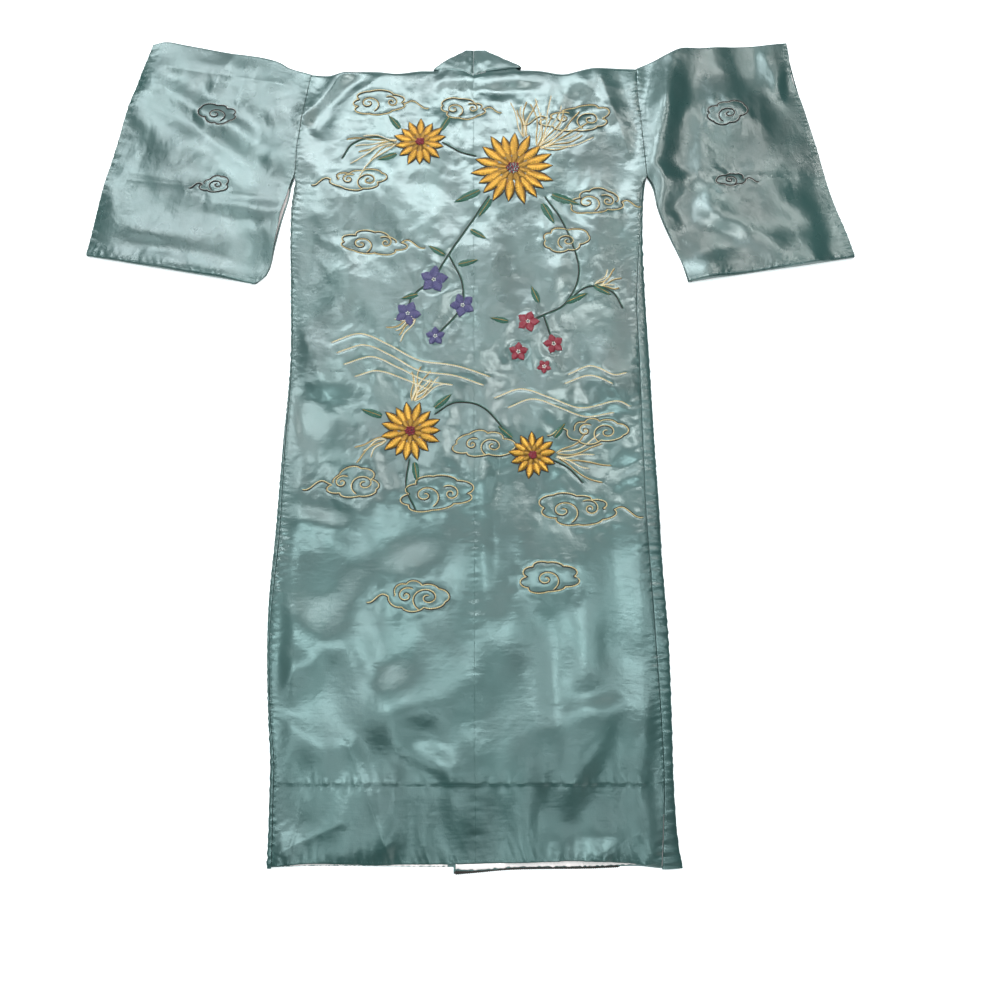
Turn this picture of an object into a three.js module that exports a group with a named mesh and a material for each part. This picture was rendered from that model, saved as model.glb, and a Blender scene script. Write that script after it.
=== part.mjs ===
import * as THREE from "three";

// Satin kimono robe lying flat with its back up.
// Millimetres: X across, Y from the hem to the neck, Z up from the floor.

// Cloth walls and seams
const clothWall = 1.2;
const collarWall = 1.6;
const liningWall = 1.0;
const seamGap = 0.3;
const armholeGap = 0.6;
const neckGap = 0.6;

// Garment sizes
const neckY = 1297;
const neckHalf = 75;
const neckRise = 16;
const neckRound = 20;
const collarWidth = 57;
const collarFoldX = 13;
const underarmY = 1103;
const wrapEndY = 1085;
const bandTop = 1313;
const hemBlend = 95;
const seamAtHem = 4;
const seamAtNeck = -7;

// Heights of the upper cloth above the floor
const layBody = 5.8;
const laySleeve = 5.4;
const layOverlap = 6.6;
const layCollarEdge = 3.4;
const shoulderRest = 2.3;
const shoulderRound = 10;
const overlapLift = 1.9;
const liftRamp = 18;

// Hem tuck
const tuckY = 115;
const tuckHigh = 1.8;
const tuckFade = 70;

// Linings
const liningInset = 2.5;
const hemLiningDeep = 72;
const cuffLiningDeep = 55;
const underarmLiningDeep = 42;

// Right side of the body: height, side seam, outer edge
const rightSide = [
  { y: 0, seam: 274, edge: 305 },
  { y: 35, seam: 277, edge: 300 },
  { y: 119, seam: 282, edge: 297 },
  { y: 204, seam: 281, edge: 298 },
  { y: 323, seam: 277, edge: 298 },
  { y: 445, seam: 272, edge: 293 },
  { y: 509, seam: 269, edge: 292 },
  { y: 639, seam: 268, edge: 288 },
  { y: 774, seam: 267, edge: 285 },
  { y: 880, seam: 267, edge: 282 },
  { y: 1007, seam: 277, edge: 282 },
  { y: 1094, seam: 286, edge: 289.5 },
];

// Left side of the body: height, side seam, outer edge
const leftSide = [
  { y: 0, seam: -290, edge: -297 },
  { y: 91, seam: -293, edge: -299 },
  { y: 147, seam: -295, edge: -301 },
  { y: 204, seam: -303, edge: -307 },
  { y: 323, seam: -311, edge: -315 },
  { y: 383, seam: -310, edge: -316 },
  { y: 477, seam: -305, edge: -312 },
  { y: 639, seam: -303, edge: -307 },
  { y: 774, seam: -300, edge: -303 },
  { y: 916, seam: -307, edge: -310 },
  { y: 989, seam: -311, edge: -314 },
  { y: 1048, seam: -312, edge: -315 },
  { y: 1094, seam: -309, edge: -312 },
];

// Inner edge of the right sleeve: free below the underarm, armhole seam above it
const rightInner = [
  { y: 910, x: 355 },
  { y: 945, x: 346 },
  { y: 989, x: 328 },
  { y: 1018, x: 317 },
  { y: 1048, x: 308 },
  { y: 1090, x: 300 },
  { y: 1103, x: 292 },
  { y: 1112, x: 290.8 },
  { y: 1159, x: 288 },
  { y: 1217, x: 285 },
  { y: 1267, x: 281 },
  { y: 1317, x: 281 },
];
const leftInner = [
  { y: 907, x: -370 },
  { y: 915, x: -358 },
  { y: 930, x: -348 },
  { y: 974, x: -340 },
  { y: 1026, x: -330 },
  { y: 1063, x: -321 },
  { y: 1095, x: -316 },
  { y: 1103, x: -313 },
  { y: 1163, x: -310 },
  { y: 1224, x: -303 },
  { y: 1263, x: -299 },
  { y: 1305, x: -293 },
];

// Cuff edges
const rightCuff = [
  { y: 954, x: 635 },
  { y: 1018, x: 619 },
  { y: 1073, x: 605 },
  { y: 1124, x: 593 },
  { y: 1202, x: 578 },
  { y: 1249, x: 569 },
  { y: 1297, x: 560 },
  { y: 1368, x: 549 },
];
const leftCuff = [
  { y: 957, x: -655 },
  { y: 1080, x: -637 },
  { y: 1208, x: -615 },
  { y: 1265, x: -601 },
  { y: 1329, x: -586 },
  { y: 1364, x: -576 },
];

// Rise of each sleeve's top fold over a straight line, from armhole to cuff
const rightTop = [
  { s: 0, rise: 0 },
  { s: 0.1, rise: 7 },
  { s: 0.2, rise: 16 },
  { s: 0.3, rise: 24 },
  { s: 0.43, rise: 18 },
  { s: 0.6, rise: 13 },
  { s: 0.8, rise: 5 },
  { s: 1, rise: 0 },
];
const leftTop = [
  { s: 0, rise: 0 },
  { s: 0.14, rise: 4 },
  { s: 0.2, rise: 11 },
  { s: 0.52, rise: 12 },
  { s: 0.81, rise: 11 },
  { s: 0.92, rise: 10 },
  { s: 1, rise: 0 },
];

// Shoulder edge of the body
const shoulder = [
  { x: -293, y: 1305 },
  { x: -261, y: 1303 },
  { x: -226, y: 1308 },
  { x: -180, y: 1311 },
  { x: -146, y: 1307 },
  { x: -100, y: 1313 },
  { x: -77, y: 1313 },
  { x: 77, y: 1313 },
  { x: 111, y: 1312 },
  { x: 155, y: 1306 },
  { x: 200, y: 1317 },
  { x: 281, y: 1317 },
];

// Hem of the back and of the fronts
const backHem = [
  { x: -297, y: 0 },
  { x: -240, y: 5 },
  { x: -137, y: 3 },
  { x: 1, y: 4 },
  { x: 97, y: 7 },
  { x: 160, y: 9 },
  { x: 242, y: 4 },
  { x: 275, y: 0 },
];
const frontHemLeft = [
  { x: -297, y: -2 },
  { x: -240, y: 0 },
  { x: -70, y: -1 },
  { x: 36, y: -2 },
];
const frontHemRight = [
  { x: -27, y: -10 },
  { x: 1, y: -8 },
  { x: 49, y: -4 },
  { x: 169, y: -2 },
  { x: 243, y: 0 },
  { x: 275, y: -3 },
  { x: 305, y: -2 },
];

// Seam between each front and its collar band, from hem to neck
const bandSeam = [
  { y: 0, left: -21, right: 30 },
  { y: 500, left: -21, right: 30 },
  { y: 700, left: -24, right: 33 },
  { y: 900, left: -40, right: 42 },
  { y: 1313, left: -77, right: 75 },
];

// Rounded folds of the laid back and sleeves: ends of the crest, half width, height
const folds = [
  { x0: -235, y0: 1302, x1: -305, y1: 1215, half: 17, high: 5 },
  { x0: -164, y0: 1300, x1: -250, y1: 1235, half: 20, high: 3 },
  { x0: -225, y0: 1262, x1: -280, y1: 1205, half: 16, high: -1.6 },
  { x0: 215, y0: 1300, x1: 262, y1: 1150, half: 17, high: 3.4 },
  { x0: 172, y0: 1300, x1: 225, y1: 1235, half: 18, high: 2.4 },
  { x0: -66, y0: 1290, x1: 66, y1: 1292, half: 16, high: 2.6 },
  { x0: -79, y0: 1035, x1: -52, y1: 890, half: 26, high: 2.6 },
  { x0: 141, y0: 930, x1: 225, y1: 715, half: 28, high: 3.4 },
  { x0: 100, y0: 900, x1: 190, y1: 690, half: 24, high: -1.4 },
  { x0: -291, y0: 827, x1: -236, y1: 700, half: 20, high: 3 },
  { x0: -300, y0: 383, x1: -215, y1: 306, half: 20, high: 3.4 },
  { x0: -298, y0: 246, x1: -205, y1: 323, half: 20, high: 3 },
  { x0: -120, y0: 205, x1: 0, y1: 250, half: 30, high: 2.6 },
  { x0: 70, y0: 350, x1: 105, y1: 200, half: 24, high: 3 },
  { x0: 158, y0: 340, x1: 150, y1: 110, half: 26, high: 3.4 },
  { x0: 240, y0: 250, x1: 215, y1: 120, half: 22, high: 2.6 },
  { x0: -160, y0: 700, x1: -150, y1: 480, half: 40, high: 2.4 },
  { x0: 120, y0: 620, x1: 110, y1: 430, half: 40, high: 2.2 },
  { x0: -280, y0: 20, x1: -190, y1: 60, half: 18, high: 2.4 },
  { x0: -184, y0: 168, x1: -126, y1: 30, half: 16, high: 2.2 },
  { x0: 180, y0: 14, x1: 240, y1: 45, half: 16, high: 2 },
  { x0: 361, y0: 1340, x1: 338, y1: 1240, half: 22, high: 4.5 },
  { x0: 338, y0: 1240, x1: 312, y1: 1125, half: 22, high: 4 },
  { x0: 384, y0: 1098, x1: 610, y1: 1108, half: 15, high: 2.4 },
  { x0: 430, y0: 1320, x1: 450, y1: 1190, half: 34, high: 2.4 },
  { x0: 510, y0: 1335, x1: 535, y1: 1250, half: 18, high: 2.2 },
  { x0: 400, y0: 1030, x1: 560, y1: 990, half: 36, high: 2 },
  { x0: -548, y0: 1318, x1: -340, y1: 1280, half: 18, high: 2.8 },
  { x0: -438, y0: 1330, x1: -463, y1: 1273, half: 15, high: 2 },
  { x0: -600, y0: 1112, x1: -449, y1: 1082, half: 15, high: 3 },
  { x0: -449, y0: 1082, x1: -345, y1: 1072, half: 15, high: 2.4 },
  { x0: -560, y0: 1010, x1: -420, y1: 990, half: 36, high: 2 },
];

// Stations from the hem to the shoulder; the last ones follow the top edge
const bodyRows = [
  0, 22, 58, 95, 111, 116, 135, 165, 200, 240, 280, 320, 365, 410, 460, 510, 560, 610, 660, 710,
  755, 800, 845, 890, 935, 980, 1020, 1055, 1085, 1103, 1112, 1130, 1160, 1190, 1222, 1255,
];
const topInsets = [22, 10, 5, 2, 0];
const backColumns = 16;
const frontShares = [0, 0.032, 0.06, 0.095, 0.2, 0.32, 0.45, 0.58, 0.72, 0.86, 1];
const wrapArc = 4;
const wrapStrip = 2;
const wrapStep = 0.8;
const sleeveStations = 13;
const upperSteps = 17;
const lowerSteps = 11;

// Colours
const satin = new THREE.Color(0.44, 0.66, 0.63);
const satinShade = new THREE.Color(0.4, 0.62, 0.59);
const lining = new THREE.Color(0.84, 0.76, 0.74);

const clamp01 = (value) => Math.min(1, Math.max(0, value));
const mix = (a, b, t) => a + (b - a) * t;
const ease = (value) => {
  const t = clamp01(value);
  return t * t * (3 - 2 * t);
};

// Smooth reading of one column of a table whose rows rise along another column
function read(rows, key, column, value) {
  let i = 1;
  while (i < rows.length - 1 && rows[i][key] < value) i += 1;
  const a = rows[i - 1];
  const b = rows[i];
  const span = b[key] - a[key];
  const t = clamp01((value - a[key]) / span);
  const slope = (p, q) => (q[column] - p[column]) / (q[key] - p[key]);
  const here = slope(a, b);
  const start = i > 1 ? (slope(rows[i - 2], a) + here) / 2 : here;
  const end = i < rows.length - 1 ? (slope(b, rows[i + 1]) + here) / 2 : here;
  const rise = (3 * t * t - 2 * t * t * t) * (b[column] - a[column]);
  const bend = span * (t * (1 - t) * (1 - t) * start - t * t * (1 - t) * end);
  return a[column] + rise + bend;
}

const seamX = (y) => mix(seamAtHem, seamAtNeck, y / neckY);
const neckLine = (x) => neckY + neckRise * (1 - Math.exp(-Math.abs(x - seamAtNeck) / neckRound));
const topLine = (x) => (Math.abs(x) < neckHalf ? neckLine(x) : read(shoulder, "x", "y", x));

// Height of one rounded fold at a point
function foldHeight(fold, x, y) {
  const dx = fold.x1 - fold.x0;
  const dy = fold.y1 - fold.y0;
  const t = clamp01(((x - fold.x0) * dx + (y - fold.y0) * dy) / (dx * dx + dy * dy));
  const off = Math.hypot(x - fold.x0 - t * dx, y - fold.y0 - t * dy) / fold.half;
  return off > 3 ? 0 : fold.high * Math.exp(-off * off);
}

// The tuck above the hem: steep towards the hem, fading upwards
function tuckHeight(y) {
  const up = y - tuckY;
  return tuckHigh * ease((up + 4) / 5) * Math.exp(-Math.max(0, up) / tuckFade);
}

// Mid height of the upper cloth over the whole robe
function lay(x, y) {
  const sleeve = ease((Math.abs(x) - 290) / 90);
  const overlap = 1 - ease((Math.abs(x - 6) - 45) / 60);
  const body = mix(layBody, layOverlap, overlap * (1 - ease((y - 1150) / 120)));
  const sideFade = 1 - 0.75 * ease((Math.abs(x + 8) - 262) / 28) * (1 - ease((y - 1080) / 60));
  const swell = 0.5 * Math.sin(x / 47 + y / 210) + 0.4 * Math.sin(y / 83 - x / 160);
  let height = mix(body, laySleeve, sleeve) + 0.5 * swell * sideFade;
  if (sleeve < 0.5) height += tuckHeight(y) * sideFade;
  for (const fold of folds) height += foldHeight(fold, x, y) * sideFade;
  return height;
}

// Lift of the right front where it lies over the left front
function liftOver(x, y) {
  const edge = read(bandSeam, "y", "left", y) + collarWidth;
  return overlapLift * (1 - ease((x - edge - 3) / liftRamp));
}

// A closed cloth solid from a grid of points on its middle
function clothSolid(name, grid, wall, color, looped = false) {
  const count = grid.length;
  const width = grid[0].length;
  const last = looped ? count : count - 1;
  const front = [];
  const back = [];
  const along = new THREE.Vector3();
  const across = new THREE.Vector3();
  for (let i = 0; i < count; i += 1) {
    const next = looped ? (i + 1) % count : Math.min(count - 1, i + 1);
    const prev = looped ? (i + count - 1) % count : Math.max(0, i - 1);
    for (let j = 0; j < width; j += 1) {
      along.subVectors(grid[next][j], grid[prev][j]);
      across.subVectors(grid[i][Math.min(width - 1, j + 1)], grid[i][Math.max(0, j - 1)]);
      const normal = along.cross(across).normalize();
      front.push(grid[i][j].clone().addScaledVector(normal, wall / 2));
      back.push(grid[i][j].clone().addScaledVector(normal, -wall / 2));
    }
  }
  const offset = front.length;
  const at = (i, j) => (i % count) * width + j;
  const index = [];
  const rim = (a, b) => index.push(b, a, a + offset, b, a + offset, b + offset);
  for (let i = 0; i < last; i += 1) {
    for (let j = 0; j < width - 1; j += 1) {
      const [a, b, c, d] = [at(i, j), at(i + 1, j), at(i + 1, j + 1), at(i, j + 1)];
      index.push(a, b, c, a, c, d);
      index.push(a + offset, c + offset, b + offset, a + offset, d + offset, c + offset);
    }
    rim(at(i, 0), at(i + 1, 0));
    rim(at(i + 1, width - 1), at(i, width - 1));
  }
  for (let j = 0; j < width - 1 && !looped; j += 1) {
    rim(at(count - 1, j), at(count - 1, j + 1));
    rim(at(0, j + 1), at(0, j));
  }
  const geometry = new THREE.BufferGeometry().setFromPoints(front.concat(back));
  geometry.setIndex(index);
  geometry.computeVertexNormals();
  const material = new THREE.MeshStandardMaterial({ color, roughness: 0.35, metalness: 0.1 });
  const mesh = new THREE.Mesh(geometry, material);
  mesh.name = name;
  return mesh;
}

// Y of a body station at a column, following the hem below and the top edge above
function stationY(station, hemY) {
  return station < hemBlend ? mix(hemY, hemBlend, station / hemBlend) : station;
}
function bodyStations(x, hemY, topY) {
  const lower = bodyRows.map((station) => stationY(station, hemY));
  return lower.concat(topInsets.map((inset) => topY - inset));
}

// The same stations at the side, where the top edge ends on the armhole
function sideStations(side) {
  const sideTop = shoulder[side > 0 ? shoulder.length - 1 : 0].y;
  return bodyRows.concat(topInsets.map((inset) => sideTop - inset));
}

// Side line of the body on one side: the side seam below, the armhole above
function bodySide(side, y) {
  if (y >= underarmY) return read(side > 0 ? rightInner : leftInner, "y", "x", y);
  return read(side > 0 ? rightSide : leftSide, "y", "seam", y);
}

// One half of the back, from the centre-back seam to the side
function backHalf(name, side) {
  const grid = [];
  const stations = sideStations(side);
  for (let i = 0; i <= backColumns; i += 1) {
    const share = i / backColumns;
    const column = [];
    for (let j = 0; j < stations.length; j += 1) {
      const nominal = stations[j];
      const inner = seamX(nominal) + (side * seamGap) / 2;
      const gap = nominal < underarmY ? seamGap : armholeGap;
      const outer = bodySide(side, nominal) - (side * gap) / 2;
      const x = mix(inner, outer, share);
      const top = topLine(x) - neckGap / 2;
      const y = bodyStations(x, read(backHem, "x", "y", x), top)[j];
      const inset = clamp01((top - y) / shoulderRound);
      const round = Math.sqrt(1 - (1 - inset) * (1 - inset));
      const open = Math.abs(x) < neckHalf ? 1 - ease((Math.abs(x) - neckHalf + 8) / 8) : 0;
      const z = mix(mix(shoulderRest, lay(x, y), round), lay(x, y), open);
      column.push(new THREE.Vector3(x, y, z));
    }
    grid.push(column);
  }
  if (side < 0) grid.reverse();
  return clothSolid(name, grid, clothWall, satin);
}

// Cross-section of a front at its side: flat, round the edge, back over the top to the seam
function wrapPoint(side, y, step) {
  const edge = read(side > 0 ? rightSide : leftSide, "y", "edge", y);
  const seam = bodySide(side, y) + (side * seamGap) / 2;
  const top = lay(seam, y);
  const radius = (top - clothWall / 2) / 2;
  const turn = edge - side * radius;
  const reach = clamp01((side * (seam - turn) + 2 * wrapStep) / radius);
  const angle = ((Math.PI - Math.asin(reach)) * Math.min(step, wrapArc)) / wrapArc;
  const arcX = turn + side * radius * Math.sin(angle);
  const z = clothWall / 2 + radius * (1 - Math.cos(angle));
  const stripShare = Math.max(0, step - wrapArc) / wrapStrip;
  return { x: mix(arcX, seam, stripShare), z: stripShare > 0 ? mix(z, top, 1) : z };
}

// One front, from its band seam round the side and up to the side seam or armhole
function front(name, side, column, hem) {
  const grid = [];
  const flat = frontShares.length - 1;
  const columns = flat + wrapArc + wrapStrip;
  const stations = sideStations(side);
  for (let i = 0; i <= columns; i += 1) {
    const line = [];
    for (let j = 0; j < stations.length; j += 1) {
      const nominal = stations[j];
      const atTop = Math.max(0, j - bodyRows.length);
      const seamY = j < bodyRows.length ? nominal : bandTop - topInsets[atTop];
      const inner = read(bandSeam, "y", column, seamY) + (side * seamGap) / 2;
      const armhole = bodySide(side, nominal) - (side * armholeGap) / 2;
      const wrapped = nominal <= wrapEndY;
      const step = i - flat;
      const flatEnd = wrapped
        ? wrapPoint(side, nominal, 0).x
        : armhole - side * wrapStep * (wrapArc + wrapStrip);
      let x = mix(inner, flatEnd, frontShares[Math.min(flat, i)]);
      let z = clothWall / 2;
      if (step > 0 && wrapped) ({ x, z } = wrapPoint(side, nominal, step));
      if (step > 0 && !wrapped) x = flatEnd + side * wrapStep * step;
      const top = read(shoulder, "x", "y", x) - seamGap / 2;
      const y = bodyStations(x, read(hem, "x", "y", x), top)[j];
      if (side > 0 && step <= 0) z += liftOver(x, y);
      line.push(new THREE.Vector3(x, y, z));
    }
    grid.push(line);
  }
  if (side < 0) grid.reverse();
  return clothSolid(name, grid, clothWall, satin);
}

// Loop steps of a sleeve: upper cloth from bottom to top, round the top fold, lower cloth back
function sleeveLoop() {
  const loop = [];
  for (let k = 0; k <= upperSteps; k += 1) loop.push({ share: k / upperSteps, turn: 0 });
  for (const turn of [0.25, 0.5, 0.75]) loop.push({ share: 1, turn });
  for (let k = lowerSteps; k >= 0; k -= 1) loop.push({ share: k / lowerSteps, turn: 1 });
  for (const turn of [0.75, 0.5, 0.25]) loop.push({ share: 0, turn });
  return loop;
}

// Plan position in a sleeve: s from the inner edge to the cuff, t from the bottom to the top fold
function sleevePlan(side, s, t) {
  const inner = side > 0 ? rightInner : leftInner;
  const cuff = side > 0 ? rightCuff : leftCuff;
  const innerY = mix(inner[0].y, inner[inner.length - 1].y, t);
  const cuffY = mix(cuff[0].y, cuff[cuff.length - 1].y, t);
  const innerX = read(inner, "y", "x", innerY) + (side * armholeGap) / 2;
  const rise = read(side > 0 ? rightTop : leftTop, "s", "rise", s) * ease((t - 0.55) / 0.45);
  return { x: mix(innerX, read(cuff, "y", "x", cuffY), s), y: mix(innerY, cuffY, s) + rise };
}

// How far the upper cloth stops short of the lower one at the cuff and at the free inner edge
const cuffShort = (side, t) => (side > 0 ? 7 * Math.exp(-(((t - 0.83) / 0.1) ** 2)) : 0);
const innerShort = (side, t) => (side < 0 ? 4 * Math.exp(-(((t - 0.36) / 0.1) ** 2)) : 0);

// One sleeve: a flattened tube of a single cloth
function sleeve(name, side) {
  const loop = sleeveLoop();
  const grid = loop.map(({ share, turn }) => {
    const line = [];
    for (let k = 0; k <= sleeveStations; k += 1) {
      const s = k / sleeveStations;
      const low = sleevePlan(side, s, 0);
      const high = sleevePlan(side, s, 1);
      const tall = Math.hypot(high.x - low.x, high.y - low.y);
      const radius = (lay(high.x, high.y - 6) - clothWall / 2) / 2;
      const inset = radius / tall;
      const tip = inset * Math.sin(turn * Math.PI);
      const t = share === 1 ? 1 - inset + tip : share === 0 ? inset - tip : mix(inset, 1 - inset, share);
      const point = sleevePlan(side, s, t);
      const upper = Math.max(0, 1 - 2 * turn);
      const short = upper * (s * s * cuffShort(side, t) - (1 - s) ** 4 * innerShort(side, t));
      const x = point.x - side * short;
      const top = lay(x, point.y);
      const middle = (top + clothWall / 2) / 2;
      const half = (top - clothWall / 2) / 2;
      line.push(new THREE.Vector3(x, point.y, middle + half * Math.cos(turn * Math.PI)));
    }
    return line;
  });
  if (side > 0) grid.reverse();
  return clothSolid(name, grid, clothWall, satinShade, true);
}

// One half of the collar: flat above the neck seam, folded under beside it, down the front edge
function collar(name, side, column) {
  const across = 6;
  const upper = 5;
  const arc = 4;
  const downRows = [1285, 1240, 1180, 1110, 1040, 960, 880, 800, 720, 640, 540, 440, 340, 240, 140, 60];
  const hem = side > 0 ? frontHemRight : frontHemLeft;
  const neckEdge = side > 0 ? neckHalf : -neckHalf - 2;
  const foldOuter = seamAtNeck + side * (collarFoldX + (side > 0 ? 7 : 0));
  const centre = seamAtNeck + (side * seamGap) / 2;
  const outerY = neckY + collarWidth;
  const low = collarWall / 2;
  const grid = [];
  for (let j = 0; j <= across; j += 1) {
    const v = j / across;
    const foldX = mix(neckEdge - side * seamGap, foldOuter, v);
    const line = [];
    const upperZ = (x, y) => mix(Math.max(lay(x, neckLine(x) - 8), layBody), layCollarEdge, v);
    const upperY = (x) => mix(neckLine(x) + neckGap / 2, outerY, v);
    for (let k = 0; k <= upper; k += 1) {
      const x = mix(centre, foldX, k / upper);
      line.push(new THREE.Vector3(x, upperY(x), upperZ(x)));
    }
    const foldY = upperY(foldX);
    const radius = (upperZ(foldX) - low) / 2;
    for (let k = 1; k <= arc; k += 1) {
      const angle = (Math.PI * k) / arc;
      const out = radius * Math.sin(angle);
      const z = low + radius * (1 + Math.cos(angle));
      line.push(new THREE.Vector3(foldX + side * 0.55 * out, foldY + 0.83 * out, z));
    }
    for (const row of downRows.concat([0])) {
      const seam = read(bandSeam, "y", column, row) - (side * seamGap) / 2;
      const x = seam - side * v * collarWidth;
      const y = row === 0 ? read(hem, "x", "y", x) : row;
      const z = low + (side > 0 ? liftOver(x, y) : 0);
      line.push(new THREE.Vector3(x, y, z));
    }
    grid.push(line);
  }
  if (side > 0) grid.reverse();
  return clothSolid(name, grid, collarWall, satin);
}

// Lining on a front's inner side, where it shows past the back's hem
function hemLining(name, side, from, to, hem) {
  const steps = 20;
  const grid = [];
  for (let i = 0; i <= steps; i += 1) {
    const x = mix(from, to, i / steps);
    const line = [];
    for (const share of [0, 0.1, 0.4, 0.7, 1]) {
      const y = read(hem, "x", "y", x) + liningInset + share * hemLiningDeep;
      const onBand = side > 0 ? 1 - ease((x - 32) / 12) : 0;
      const under = mix(clothWall, collarWall, onBand) + (side > 0 ? liftOver(x, y) : 0);
      line.push(new THREE.Vector3(x, y, under + seamGap + liningWall / 2));
    }
    grid.push(line);
  }
  return clothSolid(name, grid, liningWall, lining);
}

// Lining on a sleeve's lower cloth, along the cuff or along the free inner edge
function sleeveLining(name, side, lowT, highT, atCuff, deep) {
  const steps = 12;
  const grid = [];
  for (let i = 0; i <= steps; i += 1) {
    const t = mix(lowT, highT, i / steps);
    const edge = sleevePlan(side, atCuff ? 1 : 0, t);
    const line = [];
    for (const share of [0, 0.3, 0.6, 1]) {
      const inward = (atCuff ? -side : side) * (liningInset + share * deep);
      const slope = (sleevePlan(side, 1, t).y - sleevePlan(side, 0, t).y) / 280;
      const y = edge.y + inward * slope * side;
      line.push(new THREE.Vector3(edge.x + inward, y, clothWall + seamGap + liningWall / 2));
    }
    grid.push(line);
  }
  if (atCuff === side > 0) grid.reverse();
  return clothSolid(name, grid, liningWall, lining);
}

const robe = new THREE.Group();
robe.name = "kimono_robe";
robe.add(
  backHalf("back_left", -1),
  backHalf("back_right", 1),
  front("front_left", -1, "left", frontHemLeft),
  front("front_right", 1, "right", frontHemRight),
  sleeve("sleeve_left", -1),
  sleeve("sleeve_right", 1),
  collar("collar_left", -1, "left"),
  collar("collar_right", 1, "right"),
  hemLining("hem_lining_left", -1, -288, -36, frontHemLeft),
  hemLining("hem_lining_right", 1, -24, 292, frontHemRight),
  sleeveLining("cuff_lining_right", 1, 0.06, 0.95, true, cuffLiningDeep),
  sleeveLining("underarm_lining_left", -1, 0.05, 0.44, false, underarmLiningDeep),
);

// The origin is the middle of the robe's footprint, on the floor
const bounds = new THREE.Box3().setFromObject(robe);
robe.position.set(-(bounds.min.x + bounds.max.x) / 2, -(bounds.min.y + bounds.max.y) / 2, -bounds.min.z);

export default robe;
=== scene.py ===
"""Satin kimono robe, laid flat with its back up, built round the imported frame."""

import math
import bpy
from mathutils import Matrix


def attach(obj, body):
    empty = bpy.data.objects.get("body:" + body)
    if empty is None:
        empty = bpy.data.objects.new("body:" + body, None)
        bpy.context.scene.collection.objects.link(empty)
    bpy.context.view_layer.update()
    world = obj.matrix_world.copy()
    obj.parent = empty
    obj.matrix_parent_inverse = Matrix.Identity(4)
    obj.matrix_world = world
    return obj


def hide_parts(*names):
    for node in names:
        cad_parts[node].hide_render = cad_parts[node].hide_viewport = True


bl_info = {
    "name": "Satin Kimono Robe",
    "version": (1, 0, 0),
    "blender": (4, 5, 0),
    "location": "View3D > Sidebar > Robe",
    "description": "Builds a laid satin kimono robe with its seams, linings and embroidery",
    "category": "Add Mesh",
}

import bpy
import numpy as np
from bpy.props import FloatProperty, FloatVectorProperty, PointerProperty
from mathutils import Vector

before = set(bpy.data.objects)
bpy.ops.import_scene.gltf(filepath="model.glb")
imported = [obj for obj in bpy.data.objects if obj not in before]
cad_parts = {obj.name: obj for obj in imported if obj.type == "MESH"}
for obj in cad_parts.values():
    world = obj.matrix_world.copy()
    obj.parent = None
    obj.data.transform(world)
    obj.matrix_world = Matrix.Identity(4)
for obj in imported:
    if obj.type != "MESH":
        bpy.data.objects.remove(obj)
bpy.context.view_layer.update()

# Garment sizes in millimetres, before the shift to the frame's origin
SHIFT = np.array([10.005, -679.9205, 0.0])
MM = 0.001
NECK_Y = 1297.0
NECK_HALF = 75.0
NECK_RISE = 16.0
NECK_ROUND = 20.0
COLLAR_WIDTH = 57.0
UNDERARM_Y = 1103.0
SEAM_AT_HEM = 4.0
SEAM_AT_NECK = -7.0
SEAM_GAP = 0.3
LAY_BODY = 5.8
LAY_SLEEVE = 5.4
LAY_LOWEST = 2.9
LAY_OVERLAP = 6.6
LAY_COLLAR_EDGE = 3.4
LOW_CLOTH = 0.4
OVERLAP_LIFT = 1.9
LIFT_RAMP = 18.0
TUCK_Y = 115.0
TUCK_HIGH = 0.4
TUCK_FADE = 70.0
MIDDLE_X = -8.0
SHOULDER_TOP = 1313.0
SHOULDER_FROM = 1200.0
HEM_BLEND = 95.0
WRAP_TOP = 1085.0
CORD_STEP = 1.6

# Rows of points round a sleeve's edges, knots in a flower's heart and the reach of a seeded phase in
# radians
SLEEVE_TURNS = 7
HEART_KNOTS = 19
PHASE_REACH = 6.28

# Roughness of most threads, and where an outer petal starts as a share of its flower's reach
THREAD_ROUGH = 0.28
PETAL_START = 0.34

# Map of the pull of the cords on the cloth: cell, lower corner and number of cells along X and Y
PULL_CELL = 1.5
PULL_FROM = np.array([-540.0, 330.0])
PULL_COUNT = (720, 660)

# Where the camera stands over the robe, in garment millimetres
CAMERA_FOOT = np.array([40.0, 322.0, 0.0])

# Body sides from hem to underarm: height, side seam, outer edge
RIGHT_SIDE = np.array([
    (0, 274, 305), (35, 277, 300), (119, 282, 297), (204, 281, 298), (323, 277, 298), (445, 272, 293),
    (509, 269, 292), (639, 268, 288), (774, 267, 285), (880, 267, 282), (1007, 277, 282), (1094, 286, 289.5),
    (1103, 291.7, 291.8),
], float)
LEFT_SIDE = np.array([
    (0, -290, -297), (91, -293, -299), (147, -295, -301), (204, -303, -307), (323, -311, -315),
    (383, -310, -316), (477, -305, -312), (639, -303, -307), (774, -300, -303), (916, -307, -310),
    (989, -311, -314), (1048, -312, -315), (1094, -309, -312), (1103, -312.7, -312.8),
], float)

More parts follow.
